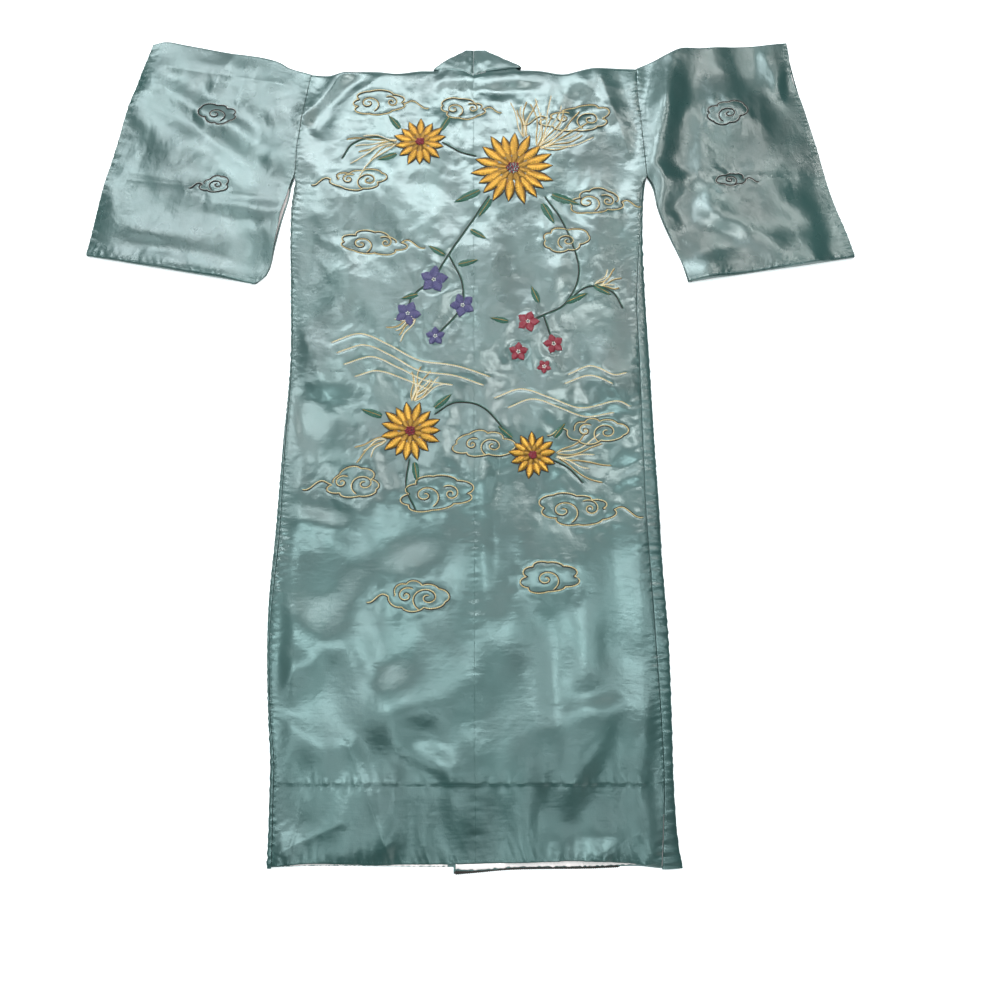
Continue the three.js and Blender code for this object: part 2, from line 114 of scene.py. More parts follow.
# Sleeve inner edges (free below the underarm, armhole above) and cuffs: height, x
RIGHT_INNER = np.array([
    (910, 355), (945, 346), (989, 328), (1018, 317), (1048, 308), (1090, 300), (1103, 292), (1112, 290.8),
    (1159, 288), (1217, 285), (1267, 281), (1317, 281),
], float)
LEFT_INNER = np.array([
    (907, -370), (915, -358), (930, -348), (974, -340), (1026, -330), (1063, -321), (1095, -316),
    (1103, -313), (1163, -310), (1224, -303), (1263, -299), (1305, -293),
], float)
RIGHT_CUFF = np.array([
    (954, 635), (1018, 619), (1073, 605), (1124, 593), (1202, 578), (1249, 569), (1297, 560), (1368, 549),
], float)
LEFT_CUFF = np.array([
    (957, -655), (1080, -637), (1208, -615), (1265, -601), (1329, -586), (1364, -576),
], float)
RIGHT_TOP = np.array([
    (0, 0), (0.1, 7), (0.2, 16), (0.3, 24), (0.43, 18), (0.6, 13), (0.8, 5), (1, 0),
], float)
LEFT_TOP = np.array([(0, 0), (0.14, 4), (0.2, 11), (0.52, 12), (0.81, 11), (0.92, 10), (1, 0)], float)

# Shoulder edge and hems: x, height
SHOULDER = np.array([
    (-293, 1305), (-261, 1303), (-226, 1308), (-180, 1311), (-146, 1307), (-100, 1313), (-77, 1313),
    (77, 1313), (111, 1312), (155, 1306), (200, 1317), (281, 1317),
], float)
BACK_HEM = np.array([
    (-297, 0), (-240, 5), (-137, 3), (1, 4), (97, 7), (160, 9), (242, 4), (275, 0),
], float)
FRONT_HEM_LEFT = np.array([(-297, -2), (-240, 0), (-70, -1), (36, -2)], float)
FRONT_HEM_RIGHT = np.array([
    (-27, -10), (1, -8), (49, -4), (169, -2), (243, 0), (275, -3), (305, -2),
], float)
BAND_SEAM = np.array([
    (0, -21, 30), (500, -21, 30), (700, -24, 33), (900, -40, 42), (1313, -77, 75),
], float)

# Folds of the upper cloth: crest ends, half width, height, crispness of the crest
FOLDS = np.array([
    (-235, 1302, -305, 1215, 17, 5, 0.2),
    (-164, 1300, -250, 1235, 20, 3, 0.2),
    (-225, 1262, -280, 1205, 16, -1.6, 0),
    (215, 1300, 262, 1150, 17, 3.4, 0.3),
    (172, 1300, 225, 1235, 18, 2.4, 0.2),
    (-66, 1290, 66, 1292, 16, 2.6, 0),
    (-79, 1035, -52, 890, 26, 2.6, 0),
    (141, 930, 225, 715, 28, 3.4, 0),
    (100, 900, 190, 690, 24, -1.4, 0),
    (-291, 827, -236, 700, 20, 3, 0.2),
    (-300, 383, -215, 306, 20, 1.4, 0.1),
    (-298, 246, -205, 323, 20, 1.2, 0.1),
    (-120, 205, 0, 250, 30, 2.6, 0),
    (70, 350, 105, 200, 36, 2.4, 0),
    (158, 340, 150, 110, 38, 2.6, 0),
    (240, 250, 215, 120, 32, 1.8, 0),
    (-160, 700, -150, 480, 40, 2.4, 0),
    (120, 620, 110, 430, 40, 2.2, 0),
    (-280, 20, -190, 60, 18, 2.4, 0.4),
    (-184, 168, -126, 30, 16, 2.2, 0.4),
    (180, 14, 240, 45, 16, 2, 0.2),
    (357, 1340, 334, 1240, 32, 6.0, 0),
    (334, 1240, 306, 1125, 32, 4.0, 0),
    (430, 1102, 610, 1110, 15, 0.8, 0.3),
    (430, 1320, 450, 1190, 34, 2.4, 0),
    (510, 1335, 535, 1250, 18, 2.2, 0.2),
    (400, 1030, 560, 990, 36, 2, 0),
    (-548, 1318, -340, 1280, 18, 2.8, 0.5),
    (-438, 1330, -463, 1273, 15, 2, 0.5),
    (-600, 1112, -449, 1082, 15, 1.2, 0.3),
    (-449, 1082, -345, 1072, 15, 1.0, 0.3),
    (-560, 1010, -420, 990, 36, 2, 0),
], float)

# Soft rises that face the window (tilt above 0) or turn away from it: centre, half length, half width,
# direction (degrees), tilt. The spread widens them all.
TILT_SPREAD = np.array([1, 1, 1.3, 1.25, 1, 1])
TILTS = np.array([
    (-72, 168, 45, 19, -30, 0.11), (-61, 134, 45, 15, -25, -0.09), (-277, 303, 34, 21, -35, 0.12),
    (-276, 209, 30, 12, -35, 0.10), (-146, 300, 34, 27, 90, -0.12), (112, 290, 61, 18, 90, -0.13),
    (118, 161, 39, 21, 90, -0.13), (195, 168, 69, 19, 62, -0.13), (179, 231, 36, 18, 10, 0.12),
    (198, 27, 55, 20, 0, 0.08), (-179, 35, 53, 26, 20, 0.12), (-228, 147, 39, 27, 0, -0.07),
    (-241, 713, 46, 26, 0, -0.13), (-246, 639, 58, 35, 0, 0.07), (-244, 513, 41, 16, -15, 0.11),
    (-249, 445, 41, 17, -53, -0.10), (-19, 565, 35, 22, 90, 0.12), (29, 589, 42, 16, 90, -0.13),
    (23, 461, 69, 13, 90, -0.12), (228, 469, 38, 28, 90, 0.09), (247, 586, 22, 11, 20, 0.14),
    (133, 383, 46, 37, 0, -0.06), (-116, 445, 47, 37, 0, 0.05), (72, 508, 47, 32, 90, -0.06),
    (54, 1281, 35, 14, 0, -0.17), (184, 1263, 25, 21, 0, -0.10), (-222, 1297, 28, 21, 30, -0.15),
    (-251, 757, 46, 39, 0, -0.10), (-247, 952, 67, 40, 90, 0.06), (209, 952, 51, 40, 90, -0.06),
    (-452, 1190, 105, 19, -35, -0.13), (-429, 1221, 109, 21, -32, 0.11), (-285, 1241, 42, 23, 90, -0.14),
    (-549, 987, 41, 17, -5, -0.11), (-465, 948, 67, 15, -10, 0.09), (-439, 1307, 64, 14, -8, -0.09),
    (-405, 1061, 55, 14, -8, 0.08), (-386, 1033, 55, 14, -8, -0.09), (306, 1221, 77, 18, 81, 0.13),
    (346, 1237, 91, 24, 81, -0.10), (345, 1071, 50, 24, 30, -0.10), (333, 1114, 41, 16, -10, 0.11),
    (408, 1018, 58, 20, -35, -0.12), (397, 956, 44, 22, 20, 0.13), (546, 1026, 31, 29, 0, -0.09),
    (537, 1287, 28, 11, 81, -0.15), (427, 1261, 60, 49, 0, 0.07), (453, 1101, 52, 17, 0, 0.07),
    (481, 989, 41, 24, 0, 0.06),
], float)

# Unevenness of the loose cloth: seed, number of waves, shortest, longest, stretch along Y, height on
# quiet cloth, on lively cloth and beside embroidery, and 1 where it fades at the body's sides
RELIEF = (
    (29, 20, 170, 330, 1.2, 1.9, 0.0, 0.0, 1),
    (11, 26, 90, 220, 1.4, 3.0, 2.4, 0.0, 1),
    (18, 26, 48, 115, 1.5, 0.5, 0.6, 0.0, 1),
    (12, 26, 30, 60, 1.5, 0.0, 0.26, 0.1, 1),
    (13, 22, 12, 24, 1.8, 0.0, 0.05, 0.0, 0),
    (14, 24, 18, 40, 1.6, 0.0, 0.0, 0.12, 0),
)

# Height of the window's panes and of the soft boxes above the floor, in metres
PANE_HIGH = 2.3
BOX_HIGH = 3.0

# Panes of the tall window beyond the neck: x, y, width, height in metres, share of its power
WINDOW_PANES = (
    (-1.75, 2.5, 0.7, 1.0, 0.34),
    (-0.75, 2.35, 0.7, 0.9, 0.34),
    (0.25, 2.35, 0.6, 0.8, 0.34),
)

# Soft boxes under the ceiling: x, y, width, depth in metres, power in watts
SOFT_BOXES = (
    (-1.95, 2.15, 0.45, 0.45, 6.0),
    (-1.30, 2.70, 0.50, 0.40, 6.5),
    (-0.1, 2.65, 0.8, 0.55, 9.0),
    (1.35, 2.75, 0.5, 0.45, 10.0),
    (1.85, 1.75, 0.45, 0.40, 8.0),
    (-0.5, 1.7, 0.6, 0.40, 5.0),
    (-1.0, 0.85, 0.7, 0.45, 13.5),
    (0.7, 1.1, 0.7, 0.45, 16.0),
    (0.2, -0.2, 0.5, 0.35, 11.5),
    (-1.0, -0.55, 0.45, 0.35, 12.0),
    (1.35, -0.3, 0.30, 0.35, 5.2),
    (-1.75, -1.2, 0.35, 0.40, 4.5),
    (-0.4, -1.35, 0.35, 0.35, 4.5),
    (0.8, -1.3, 0.35, 0.35, 4.5),
    (2.3, 0.4, 0.4, 1.00, 7.0),
    (-2.4, 0.7, 0.4, 1.20, 10.0),
)

# Low lights round the robe: name, place, what it faces, width, height in metres, watts, colour
LOW_LIGHTS = (
    ("side_panel", (-3.4, 0.3, 0.9), (-0.2, 0, 0), 3.0, 1.2, 14.0, (0.95, 0.98, 1.0)),
    ("far_panel", (-0.4, 4.2, 0.9), (0, 0.4, 0), 4.0, 1.2, 15.0, (0.95, 0.98, 1.0)),
    ("door_light", (1.6, -2.8, 2.0), (0, 0, 0), 1.6, 1.6, 8.0, (1.0, 0.99, 0.97)),
)

# Storage creases: sharp low lines pressed into the cloth
CREASES = np.array([
    (-312, 749, 294, 751, 3.5, 0.25, 1),
    (-600, 1098, -320, 1064, 3.0, 0.3, 1),
    (400, 1093, 626, 1106, 3.0, 0.16, 1),
    (-247, 91, -266, 15, 5, 0.6, 1),
    (-184, 168, -120, 15, 5, 0.6, 1),
], float)

# Swirl clouds: centre, width, height, lobes, way they turn, length of the tail, 1 for doubled cord
CLOUDS = np.array([
    (-172, 1246, 112, 52, 7, 1, 40, 1),
    (-200, 1096, 96, 52, 7, -1, 34, 1),
    (176, 1214, 128, 62, 8, -1, 44, 1),
    (204, 1056, 96, 58, 7, 1, 34, 1),
    (150, 984, 84, 46, 7, -1, 0, 1),
    (-176, 980, 116, 52, 8, 1, 42, 1),
    (-26, 1234, 92, 46, 7, 1, 30, 1),
    (-190, 566, 100, 56, 7, -1, 40, 1),
    (-60, 548, 112, 62, 8, 1, 0, 1),
    (196, 652, 96, 56, 7, -1, 34, 1),
    (158, 524, 120, 66, 8, 1, 46, 1),
    (14, 628, 92, 52, 7, -1, 0, 1),
    (-86, 388, 92, 62, 7, -1, 34, 1),
    (115, 416, 84, 56, 8, 1, 0, 1),
    (-452, 1222, 62, 48, 7, 1, 0, 0),
    (-446, 1088, 52, 36, 6, -1, 24, 0),
    (434, 1222, 66, 50, 7, -1, 0, 0),
    (436, 1098, 52, 32, 6, 1, 22, 0),
], float)

# Padded flowers: centre, reach, outer petals, inner petals, turned by (degrees)
FLOWERS = np.array([
    (62, 1118, 70, 18, 12, 4),
    (-98, 1168, 46, 14, 9, 11),
    (-104, 652, 50, 15, 10, 0),
    (92, 612, 38, 13, 8, 8),
], float)

# Violet and red blossoms of five petals: centre, reach, turned by (degrees)
VIOLET_BLOSSOMS = np.array([
    (-70, 912, 25, 10), (-22, 868, 22, 40), (-112, 852, 23, 66), (-66, 812, 17, 20),
], float)
RED_BLOSSOMS = np.array([
    (86, 838, 20, 0), (128, 800, 18, 35), (70, 786, 17, 15), (112, 760, 13, 50),
], float)

# Leaves: base, direction (degrees), length, width
LEAVES = np.array([
    (128, 1068, -20, 52, 17), (112, 1052, -62, 44, 15), (6, 1076, 205, 50, 16), (24, 1060, 238, 40, 14),
    (-62, 1190, 62, 36, 12), (-134, 1196, 128, 34, 12), (-138, 1146, 200, 36, 13), (-52, 956, 150, 34, 12),
    (-30, 940, 12, 36, 12), (-96, 886, 196, 30, 11), (150, 872, 24, 40, 13), (104, 872, 112, 34, 12),
    (54, 838, 168, 32, 11), (-150, 676, 160, 38, 13), (-66, 690, 40, 38, 13), (-96, 600, -80, 36, 12),
    (60, 640, 140, 32, 11), (126, 640, 52, 32, 11), (196, 902, -30, 34, 12), (-10, 1004, -34, 34, 12),
], float)

# Stems and water lines, each a row of points the cord runs through
STEMS = (
    ((116, 1066), (150, 1010), (172, 930), (150, 872), (112, 850), (88, 838)),
    ((150, 872), (186, 900), (226, 892), (244, 862)),
    ((112, 850), (120, 824), (128, 800)),
    ((22, 1066), (-14, 1010), (-46, 958), (-68, 914)),
    ((-46, 958), (-24, 912), (-20, 868)),
    ((-68, 914), (-104, 884), (-112, 854)),
    ((-20, 868), (-44, 836), (-64, 814)),
    ((-60, 1166), (-30, 1150), (0, 1142)),
    ((-138, 1166), (-176, 1180), (-214, 1166), (-232, 1136)),
    ((-66, 680), (-30, 700), (14, 690), (58, 640)),
    ((-104, 606), (-108, 560), (-92, 522)),
    ((124, 604), (150, 590), (172, 566)),
)
WATER = (
    ((-236, 800), (-190, 816), (-140, 796), (-90, 770), (-30, 760), (24, 742)),
    ((-226, 782), (-182, 796), (-136, 778), (-88, 752), (-34, 744), (14, 728)),
    ((-214, 762), (-170, 776), (-124, 758), (-80, 736), (-36, 728)),
    ((-196, 742), (-158, 752), (-112, 738), (-74, 720)),
    ((30, 706), (74, 722), (120, 706), (170, 690), (226, 700), (250, 692)),
    ((52, 690), (92, 704), (134, 690), (178, 676), (224, 682)),
    ((150, 746), (186, 760), (222, 744), (246, 748)),
    ((144, 730), (184, 744), (222, 728)),
)

# Sprays of grass: base, first and last direction (degrees), blades, length, bend
SPRAYS = np.array([
    (104, 1156, 84, -8, 15, 104, 0.22),
    (84, 1176, 118, 84, 6, 76, -0.16),
    (-134, 1172, 214, 160, 7, 96, 0.20),
    (-100, 700, 100, 38, 10, 62, -0.14),
    (126, 612, 24, -42, 7, 92, 0.20),
    (-140, 640, 218, 186, 4, 62, 0.22),
    (196, 900, 40, -10, 6, 50, 0.18),
    (-100, 846, 250, 200, 5, 52, -0.18),
], float)


def ease(value):
    t = np.clip(value, 0.0, 1.0)
    return t * t * (3.0 - 2.0 * t)


def mix(a, b, t):
    return a + (b - a) * t


def read(rows, value, column=1):
    """Smooth reading of one column of a table against its first column."""
    keys, found = rows[:, 0], rows[:, column]
    value = np.asarray(value, float)
    slopes = np.diff(found) / np.diff(keys)
    at = np.concatenate([[slopes[0]], (slopes[1:] + slopes[:-1]) / 2, [slopes[-1]]])
    i = np.clip(np.searchsorted(keys, value) - 1, 0, len(keys) - 2)
    span = keys[i + 1] - keys[i]
    t = np.clip((value - keys[i]) / span, 0.0, 1.0)
    rise = (3 * t * t - 2 * t**3) * (found[i + 1] - found[i])
    bend = span * (t * (1 - t) ** 2 * at[i] - t * t * (1 - t) * at[i + 1])
    return found[i] + rise + bend


def seam_x(y):
    return mix(SEAM_AT_HEM, SEAM_AT_NECK, y / NECK_Y)


def neck_line(x):
    return NECK_Y + NECK_RISE * (1 - np.exp(-np.abs(x - SEAM_AT_NECK) / NECK_ROUND))


def top_line(x):
    return np.where(np.abs(x) < NECK_HALF, neck_line(x), read(SHOULDER, x))


def shoulder_end(side):
    return SHOULDER[-1 if side > 0 else 0, 1]


def side_tables(side):
    return (RIGHT_SIDE, RIGHT_INNER) if side > 0 else (LEFT_SIDE, LEFT_INNER)


def body_side(side, y, column=1):
    table, inner = side_tables(side)
    return np.where(y >= UNDERARM_Y, read(inner, y), read(table, y, column))


def front_hem(side, x):
    return read(FRONT_HEM_RIGHT if side > 0 else FRONT_HEM_LEFT, x)


def band_seam(side, y):
    """Where the collar band is sewn to a front."""
    return read(BAND_SEAM, y, 2 if side > 0 else 1)


def line_heights(rows, x, y):
    """Sum of the folds in a table at the points."""
    x, y = np.broadcast_arrays(x, y)
    height = np.zeros(x.shape)
    for x0, y0, x1, y1, half, high, crisp in rows:
        dx, dy = x1 - x0, y1 - y0
        t = np.clip(((x - x0) * dx + (y - y0) * dy) / (dx * dx + dy * dy), 0, 1)
        off = np.hypot(x - x0 - t * dx, y - y0 - t * dy) / half
        height += high * mix(np.exp(-off * off), np.exp(-1.7 * off), crisp)
    return height


def tilt_heights(x, y):
    """Sum of the soft rises and falls in the table of tilts."""
    x, y = np.broadcast_arrays(x, y)
    height = np.zeros(x.shape)
    for cx, cy, long, wide, direction, tilt in TILTS * TILT_SPREAD:
        cos, sin = math.cos(math.radians(direction)), math.sin(math.radians(direction))
        along = (x - cx) * cos + (y - cy) * sin
        across = (y - cy) * cos - (x - cx) * sin
        height -= tilt * across * np.exp(-((along / long) ** 2) - (across / wide) ** 2)
    return height


def waves(seed, count, short, long, x, y, across=1.0):
    """Smooth seeded unevenness between two wavelengths; across stretches it along Y."""
    rng = np.random.RandomState(seed)
    x, y = np.broadcast_arrays(x, y)
    total = np.zeros(x.shape)
    for _ in range(count):
        length = short * (long / short) ** rng.rand()
        angle = rng.rand() * math.pi * 2
        phase = rng.rand() * math.pi * 2
        kx, ky = math.cos(angle) / length, math.sin(angle) / length / across
        total += np.sin(2 * math.pi * (kx * x + ky * y) + phase)
    return total / math.sqrt(count)


def crumple(seed, x, y, size=34):
    """Crisp creases that wander in all directions, faint in some places and plain in others."""
    rng = np.random.RandomState(seed)
    bent_x = x + 14 * waves(seed + 50, 6, 90, 200, x, y)
    bent_y = y + 14 * waves(seed + 51, 6, 90, 200, x, y)
    total = np.zeros(np.shape(bent_x))
    for number in range(9):
        length = size * 2.2 ** rng.rand()
        angle = math.pi * (number + 0.6 * rng.rand()) / 9
        run = (math.cos(angle) * bent_x + math.sin(angle) * bent_y) / length
        shown = np.clip(0.5 + 0.9 * waves(seed + 60 + number, 4, 110, 260, x, y), 0, 1.4)
        total += shown * (0.64 - np.abs(np.sin(math.pi * run + rng.rand() * PHASE_REACH)))
    return total / 2.2


def pucker(away, along, reach, length, seed):
    """Gathers that run off a seam, no two alike: away and along are the distances from and along it."""
    rng = np.random.RandomState(seed)
    total = 0
    for _ in range(10):
        run = length * 0.6 * 3.4 ** rng.rand()
        slant = rng.uniform(-0.6, 0.6)
        phase = rng.rand() * PHASE_REACH
        drift = rng.rand() * PHASE_REACH
        shown = np.clip(0.15 + np.sin(along / (length * rng.uniform(1.5, 6)) + drift), 0, 1)
        bend = 1.6 * np.sin(along / (length * 2.3) + drift)
        wave = np.sin(2 * math.pi * (along + slant * away) / run + phase + bend)
        total = total + shown * wave * np.exp(-away / (reach * math.sqrt(run / length)))
    return total / 1.9


def near_stitching(x, y):
    """Share of the pull that the embroidery gives the cloth, 1 in the thick of it."""
    x, y = np.broadcast_arrays(x, y)
    share = np.zeros(x.shape)
    for cx, cy, wide, high, *_ in CLOUDS:
        share += np.exp(-(((x - cx) / (0.62 * wide)) ** 2) - ((y - cy) / (0.75 * high)) ** 2)
    for cx, cy, reach, *_ in FLOWERS:
        share += np.exp(-(((x - cx) / (1.25 * reach)) ** 2) - ((y - cy) / (1.25 * reach)) ** 2)
    for cx, cy, reach, _ in np.concatenate([VIOLET_BLOSSOMS, RED_BLOSSOMS]):
        share += np.exp(-(((x - cx) / (1.6 * reach)) ** 2) - ((y - cy) / (1.6 * reach)) ** 2)
    return np.minimum(share, 1.0)


pull_maps = {}


def blurred(marks, reach):
    """The marks softened over a reach in millimetres, 1 along a lone line."""
    size = reach / PULL_CELL
    steps = np.arange(-int(3 * size), int(3 * size) + 1)
    weights = np.exp(-0.5 * (steps / size) ** 2)
    soft = marks
    for axis in (0, 1):
        soft = sum(weight * np.roll(soft, step, axis) for weight, step in zip(weights, steps))
    return np.clip(soft / weights.sum(), 0, 1)


def stitch_pull(x, y):
    """How much the sewn cords draw the cloth down: close beside them and around them."""
    if not pull_maps:
        marks = np.zeros(PULL_COUNT)
        for path in embroidered_paths():
            cell = np.round((even(path, PULL_CELL * 0.8) - PULL_FROM) / PULL_CELL).astype(int)
            inside = np.all((cell > 0) & (cell < np.array(PULL_COUNT) - 1), axis=1)
            marks[cell[inside, 0], cell[inside, 1]] = 1
        pull_maps["close"] = blurred(marks, 2.0)
        pull_maps["around"] = np.clip(blurred(marks, 13.0) * 1.5, 0, 1)
    at_x = np.clip((x - PULL_FROM[0]) / PULL_CELL, 0, PULL_COUNT[0] - 1.001)
    at_y = np.clip((y - PULL_FROM[1]) / PULL_CELL, 0, PULL_COUNT[1] - 1.001)
    i, j = at_x.astype(int), at_y.astype(int)
    u, v = at_x - i, at_y - j
    found = []
    for name in ("close", "around"):
        field = pull_maps[name]
        low = mix(field[i, j], field[i + 1, j], u)
        high = mix(field[i, j + 1], field[i + 1, j + 1], u)
        found.append(mix(low, high, v))
    return found


def embroidered_paths():
    """Plan paths of all the cords that draw the cloth."""
    paths = [path for row in CLOUDS for path in cloud_paths(*row[:7])]
    paths += [soft_path(line) for line in STEMS + WATER] + spray_paths()
    ring = np.linspace(0, 2 * math.pi, 60)
    for x, y, reach, *_ in np.concatenate([VIOLET_BLOSSOMS, RED_BLOSSOMS]):
        paths.append(plan(x + reach * np.cos(ring), y + reach * np.sin(ring)))
    return paths


def tuck_height(y):
    up = y - TUCK_Y
    above = np.maximum(0, up)
    return ease((up + 6) / 9) * (TUCK_HIGH * np.exp(-above / TUCK_FADE) + 0.15 * np.exp(-above / 6))


def resting_height(x, y, sleeve, fade):
    """The cloth as it lies on what is under it, a little loose and lower towards the hem."""
    overlap = 1 - ease((np.abs(x - 6) - 45) / 60)
    body = mix(LAY_BODY, LAY_OVERLAP, overlap * (1 - ease((y - 1150) / 120)))
    swell = 0.5 * np.sin(x / 47 + y / 210) + 0.4 * np.sin(y / 83 - x / 160)
    return mix(body, LAY_SLEEVE, sleeve) + (0.5 * swell + 1.6 * ease(y / 140)) * fade


def loose_relief(x, y, sleeve, fade):
    """Folds, soft rises and crumples of the loose cloth, quiet low on the body and lively above."""
    pulled = near_stitching(x, y)
    busy = mix(0.15, 0.8, ease((y - 430) / 170)) * (1 - 0.4 * sleeve)
    height = 0.9 * line_heights(FOLDS, x, y) * fade
    height += mix(1.1, 1.7, ease((y - 300) / 200)) * tilt_heights(x, y) * fade
    for seed, count, short, long, across, quiet, lively, sewn, fades in RELIEF:
        high = (mix(quiet, lively, busy) + sewn * pulled) * (fade if fades else 1)
        height += high * waves(seed, count, short, long, x, y, across)
    height += (0.55 * busy + 0.1 * pulled) * fade * crumple(15, x, y)
    height += 0.12 * busy * fade * crumple(19, x, y, 15)
    close, around = stitch_pull(x, y)
    return height + 0.26 * around * waves(16, 24, 16, 36, x, y, 1.6) - 0.5 * close


def seam_gathers(x, y, on_body):
    """Gathers and grooves along the seams, the cuffs, the sleeves' lower edges, the tuck and the hem."""
    inside = on_body * ease((1320 - y) / 8)
    centre = np.abs(x - seam_x(y))
    height = inside * (0.14 * pucker(centre, y, 11, 17, 3) - 0.07 * np.exp(-((centre / 1.8) ** 2)))
    for side in (-1, 1):
        seam = np.abs(x - body_side(side, y))
        height += 0.42 * pucker(seam, y, 7, 10, 5 + side) - 0.3 * np.exp(-((seam / 2.2) ** 2))
        cuff = np.abs(x - read(RIGHT_CUFF if side > 0 else LEFT_CUFF, y))
        height += 0.55 * pucker(cuff, y, 8, 10, 8 + side) * (1 - on_body)
        s = (x - read(side_tables(side)[1], 910)) / (275 * side)
        foot = np.abs(y - sleeve_plan(side, np.clip(s, 0, 1), 0.0)[1])
        height += 0.5 * pucker(foot, x, 7, 10, 61 + side) * (1 - on_body) * (side * x > 280)
    hem = np.abs(y - read(BACK_HEM, x))
    height += 0.8 * ease((190 - y) / 90) * on_body * waves(23, 20, 32, 80, x, y, 3.0)
    height += (0.4 * pucker(hem, x, 5, 7, 21) + 0.65 * pucker(hem, x, 16, 18, 23)) * on_body
    return height + 0.35 * pucker(np.abs(y - TUCK_Y), x, 14, 24, 22) * on_body


def lay(x, y):
    """Height of the laid back, sleeves and neck above the floor, in millimetres."""
    x, y = np.broadcast_arrays(np.asarray(x, float), np.asarray(y, float))
    sleeve = ease((np.abs(x) - 290) / 90)
    off_middle = np.abs(x - MIDDLE_X)
    on_body = 1 - ease((off_middle - 285) / 16)
    at_side = ease((off_middle - 262) / 28) * (1 - ease((off_middle - 305) / 25))
    fade = 1 - 0.75 * at_side * (1 - ease((y - 1080) / 60))
    height = resting_height(x, y, sleeve, fade) + tuck_height(y) * fade * on_body
    height += loose_relief(x, y, sleeve, fade) + line_heights(CREASES, x, y)
    height += seam_gathers(x, y, on_body)
    return LAY_LOWEST + 0.7 * np.logaddexp(0, (height - LAY_LOWEST) / 0.7)


def lift_over(x, y):
    edge = band_seam(-1, y) + COLLAR_WIDTH
    return OVERLAP_LIFT * (1 - ease((x - edge - 3) / LIFT_RAMP))


def place(x, y, z):
    return np.stack(np.broadcast_arrays(x, y, z), axis=-1)


def plan(x, y):
    return np.stack([x, y], axis=1)


def outward(x, y, angle, along, off=0.0):
    """Plan points that lie along a direction from x, y, and off to its left."""
    cos, sin = math.cos(angle), math.sin(angle)
    return x + cos * along - sin * off, y + sin * along + cos * off


# Mesh making
def add_piece(name, points, faces, uvs, material):
    """A mesh object from points in garment millimetres."""
    mesh = bpy.data.meshes.new(name)
    mesh.from_pydata(((np.asarray(points) + SHIFT) * MM).tolist(), [], faces)
    mesh.polygons.foreach_set("use_smooth", [True] * len(mesh.polygons))
    loops = np.empty(len(mesh.loops), int)
    mesh.loops.foreach_get("vertex_index", loops)
    layer = mesh.uv_layers.new(name="thread")
    layer.data.foreach_set("uv", np.asarray(uvs, float)[loops].ravel())
    mesh.materials.append(material)
    mesh.update()
    piece = bpy.data.objects.new(name, mesh)
    bpy.context.scene.collection.objects.link(piece)
    return piece


def grid_faces(rows, columns, looped=False):
    last = rows if looped else rows - 1
    i, j = np.meshgrid(np.arange(last), np.arange(columns - 1), indexing="ij")
    a = i * columns + j
    b = ((i + 1) % rows) * columns + j
    return np.stack([a, b, b + 1, a + 1], axis=-1).reshape(-1, 4).tolist()


def add_cloth(name, grid, material, looped=False, flip=False):
    """A sheet from a grid of points; the UV map runs in metres across and along the cloth."""
    if flip:
        grid = grid[::-1]
    rows, columns = grid.shape[:2]
    across = np.zeros((rows, columns))
    along = np.zeros((rows, columns))
    across[1:] = np.cumsum(np.linalg.norm(np.diff(grid, axis=0), axis=-1), axis=0)
    along[:, 1:] = np.cumsum(np.linalg.norm(np.diff(grid, axis=1), axis=-1), axis=1)
    uvs = np.stack([across, along], axis=-1).reshape(-1, 2) * MM
    return add_piece(name, grid.reshape(-1, 3), grid_faces(rows, columns, looped), uvs, material)


def lay_cloth(node, grid, material, looped=False, flip=False):
    """Adds a cloth piece, attaches it to the root and hides the solid of the same name."""
    piece = add_cloth("cloth_" + node, grid, material, looped, flip)
    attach(piece, "root")
    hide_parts(node)


# Materials
def new_material(name):
    material = bpy.data.materials.new(name)
    material.use_nodes = True
    tree = material.node_tree
    return material, tree, tree.nodes["Principled BSDF"]


def set_inputs(node, values):
    for name, value in values.items():
        node.inputs[name].default_value = value


def noise(tree, scale, detail, stretch=None, distortion=0.0, uv=False):
    place_by = tree.nodes.new("ShaderNodeTexCoord")
    source = place_by.outputs["UV" if uv else "Object"]
    if stretch:
        mapping = tree.nodes.new("ShaderNodeMapping")
        mapping.inputs["Scale"].default_value = stretch
        tree.links.new(source, mapping.inputs["Vector"])
        source = mapping.outputs["Vector"]
    made = tree.nodes.new("ShaderNodeTexNoise")
    set_inputs(made, {"Scale": scale, "Detail": detail, "Distortion": distortion})
    tree.links.new(source, made.inputs["Vector"])
    return made.outputs["Fac"]


def ramp(tree, fac, stops):
    made = tree.nodes.new("ShaderNodeValToRGB")
    made.color_ramp.elements[0].position = stops[0][0]
    made.color_ramp.elements[0].color = (*stops[0][1], 1)
    made.color_ramp.elements[1].position = stops[-1][0]
    made.color_ramp.elements[1].color = (*stops[-1][1], 1)
    for position, colour in stops[1:-1]:
        element = made.color_ramp.elements.new(position)
        element.color = (*colour, 1)
    tree.links.new(fac, made.inputs["Fac"])
    return made.outputs["Color"]


def bump(tree, height, strength, distance, below=None):
    made = tree.nodes.new("ShaderNodeBump")
    set_inputs(made, {"Strength": strength, "Distance": distance})
    tree.links.new(height, made.inputs["Height"])
    if below is not None:
        tree.links.new(below, made.inputs["Normal"])
    return made.outputs["Normal"]


def span(tree, fac, low, high, start=0.0, end=1.0):
    made = tree.nodes.new("ShaderNodeMapRange")
    set_inputs(made, {"From Min": start, "From Max": end, "To Min": low, "To Max": high})
    tree.links.new(fac, made.inputs["Value"])
    return made.outputs["Result"]


def shade(colour, factor):
    return tuple(min(1.0, channel * factor) for channel in colour)


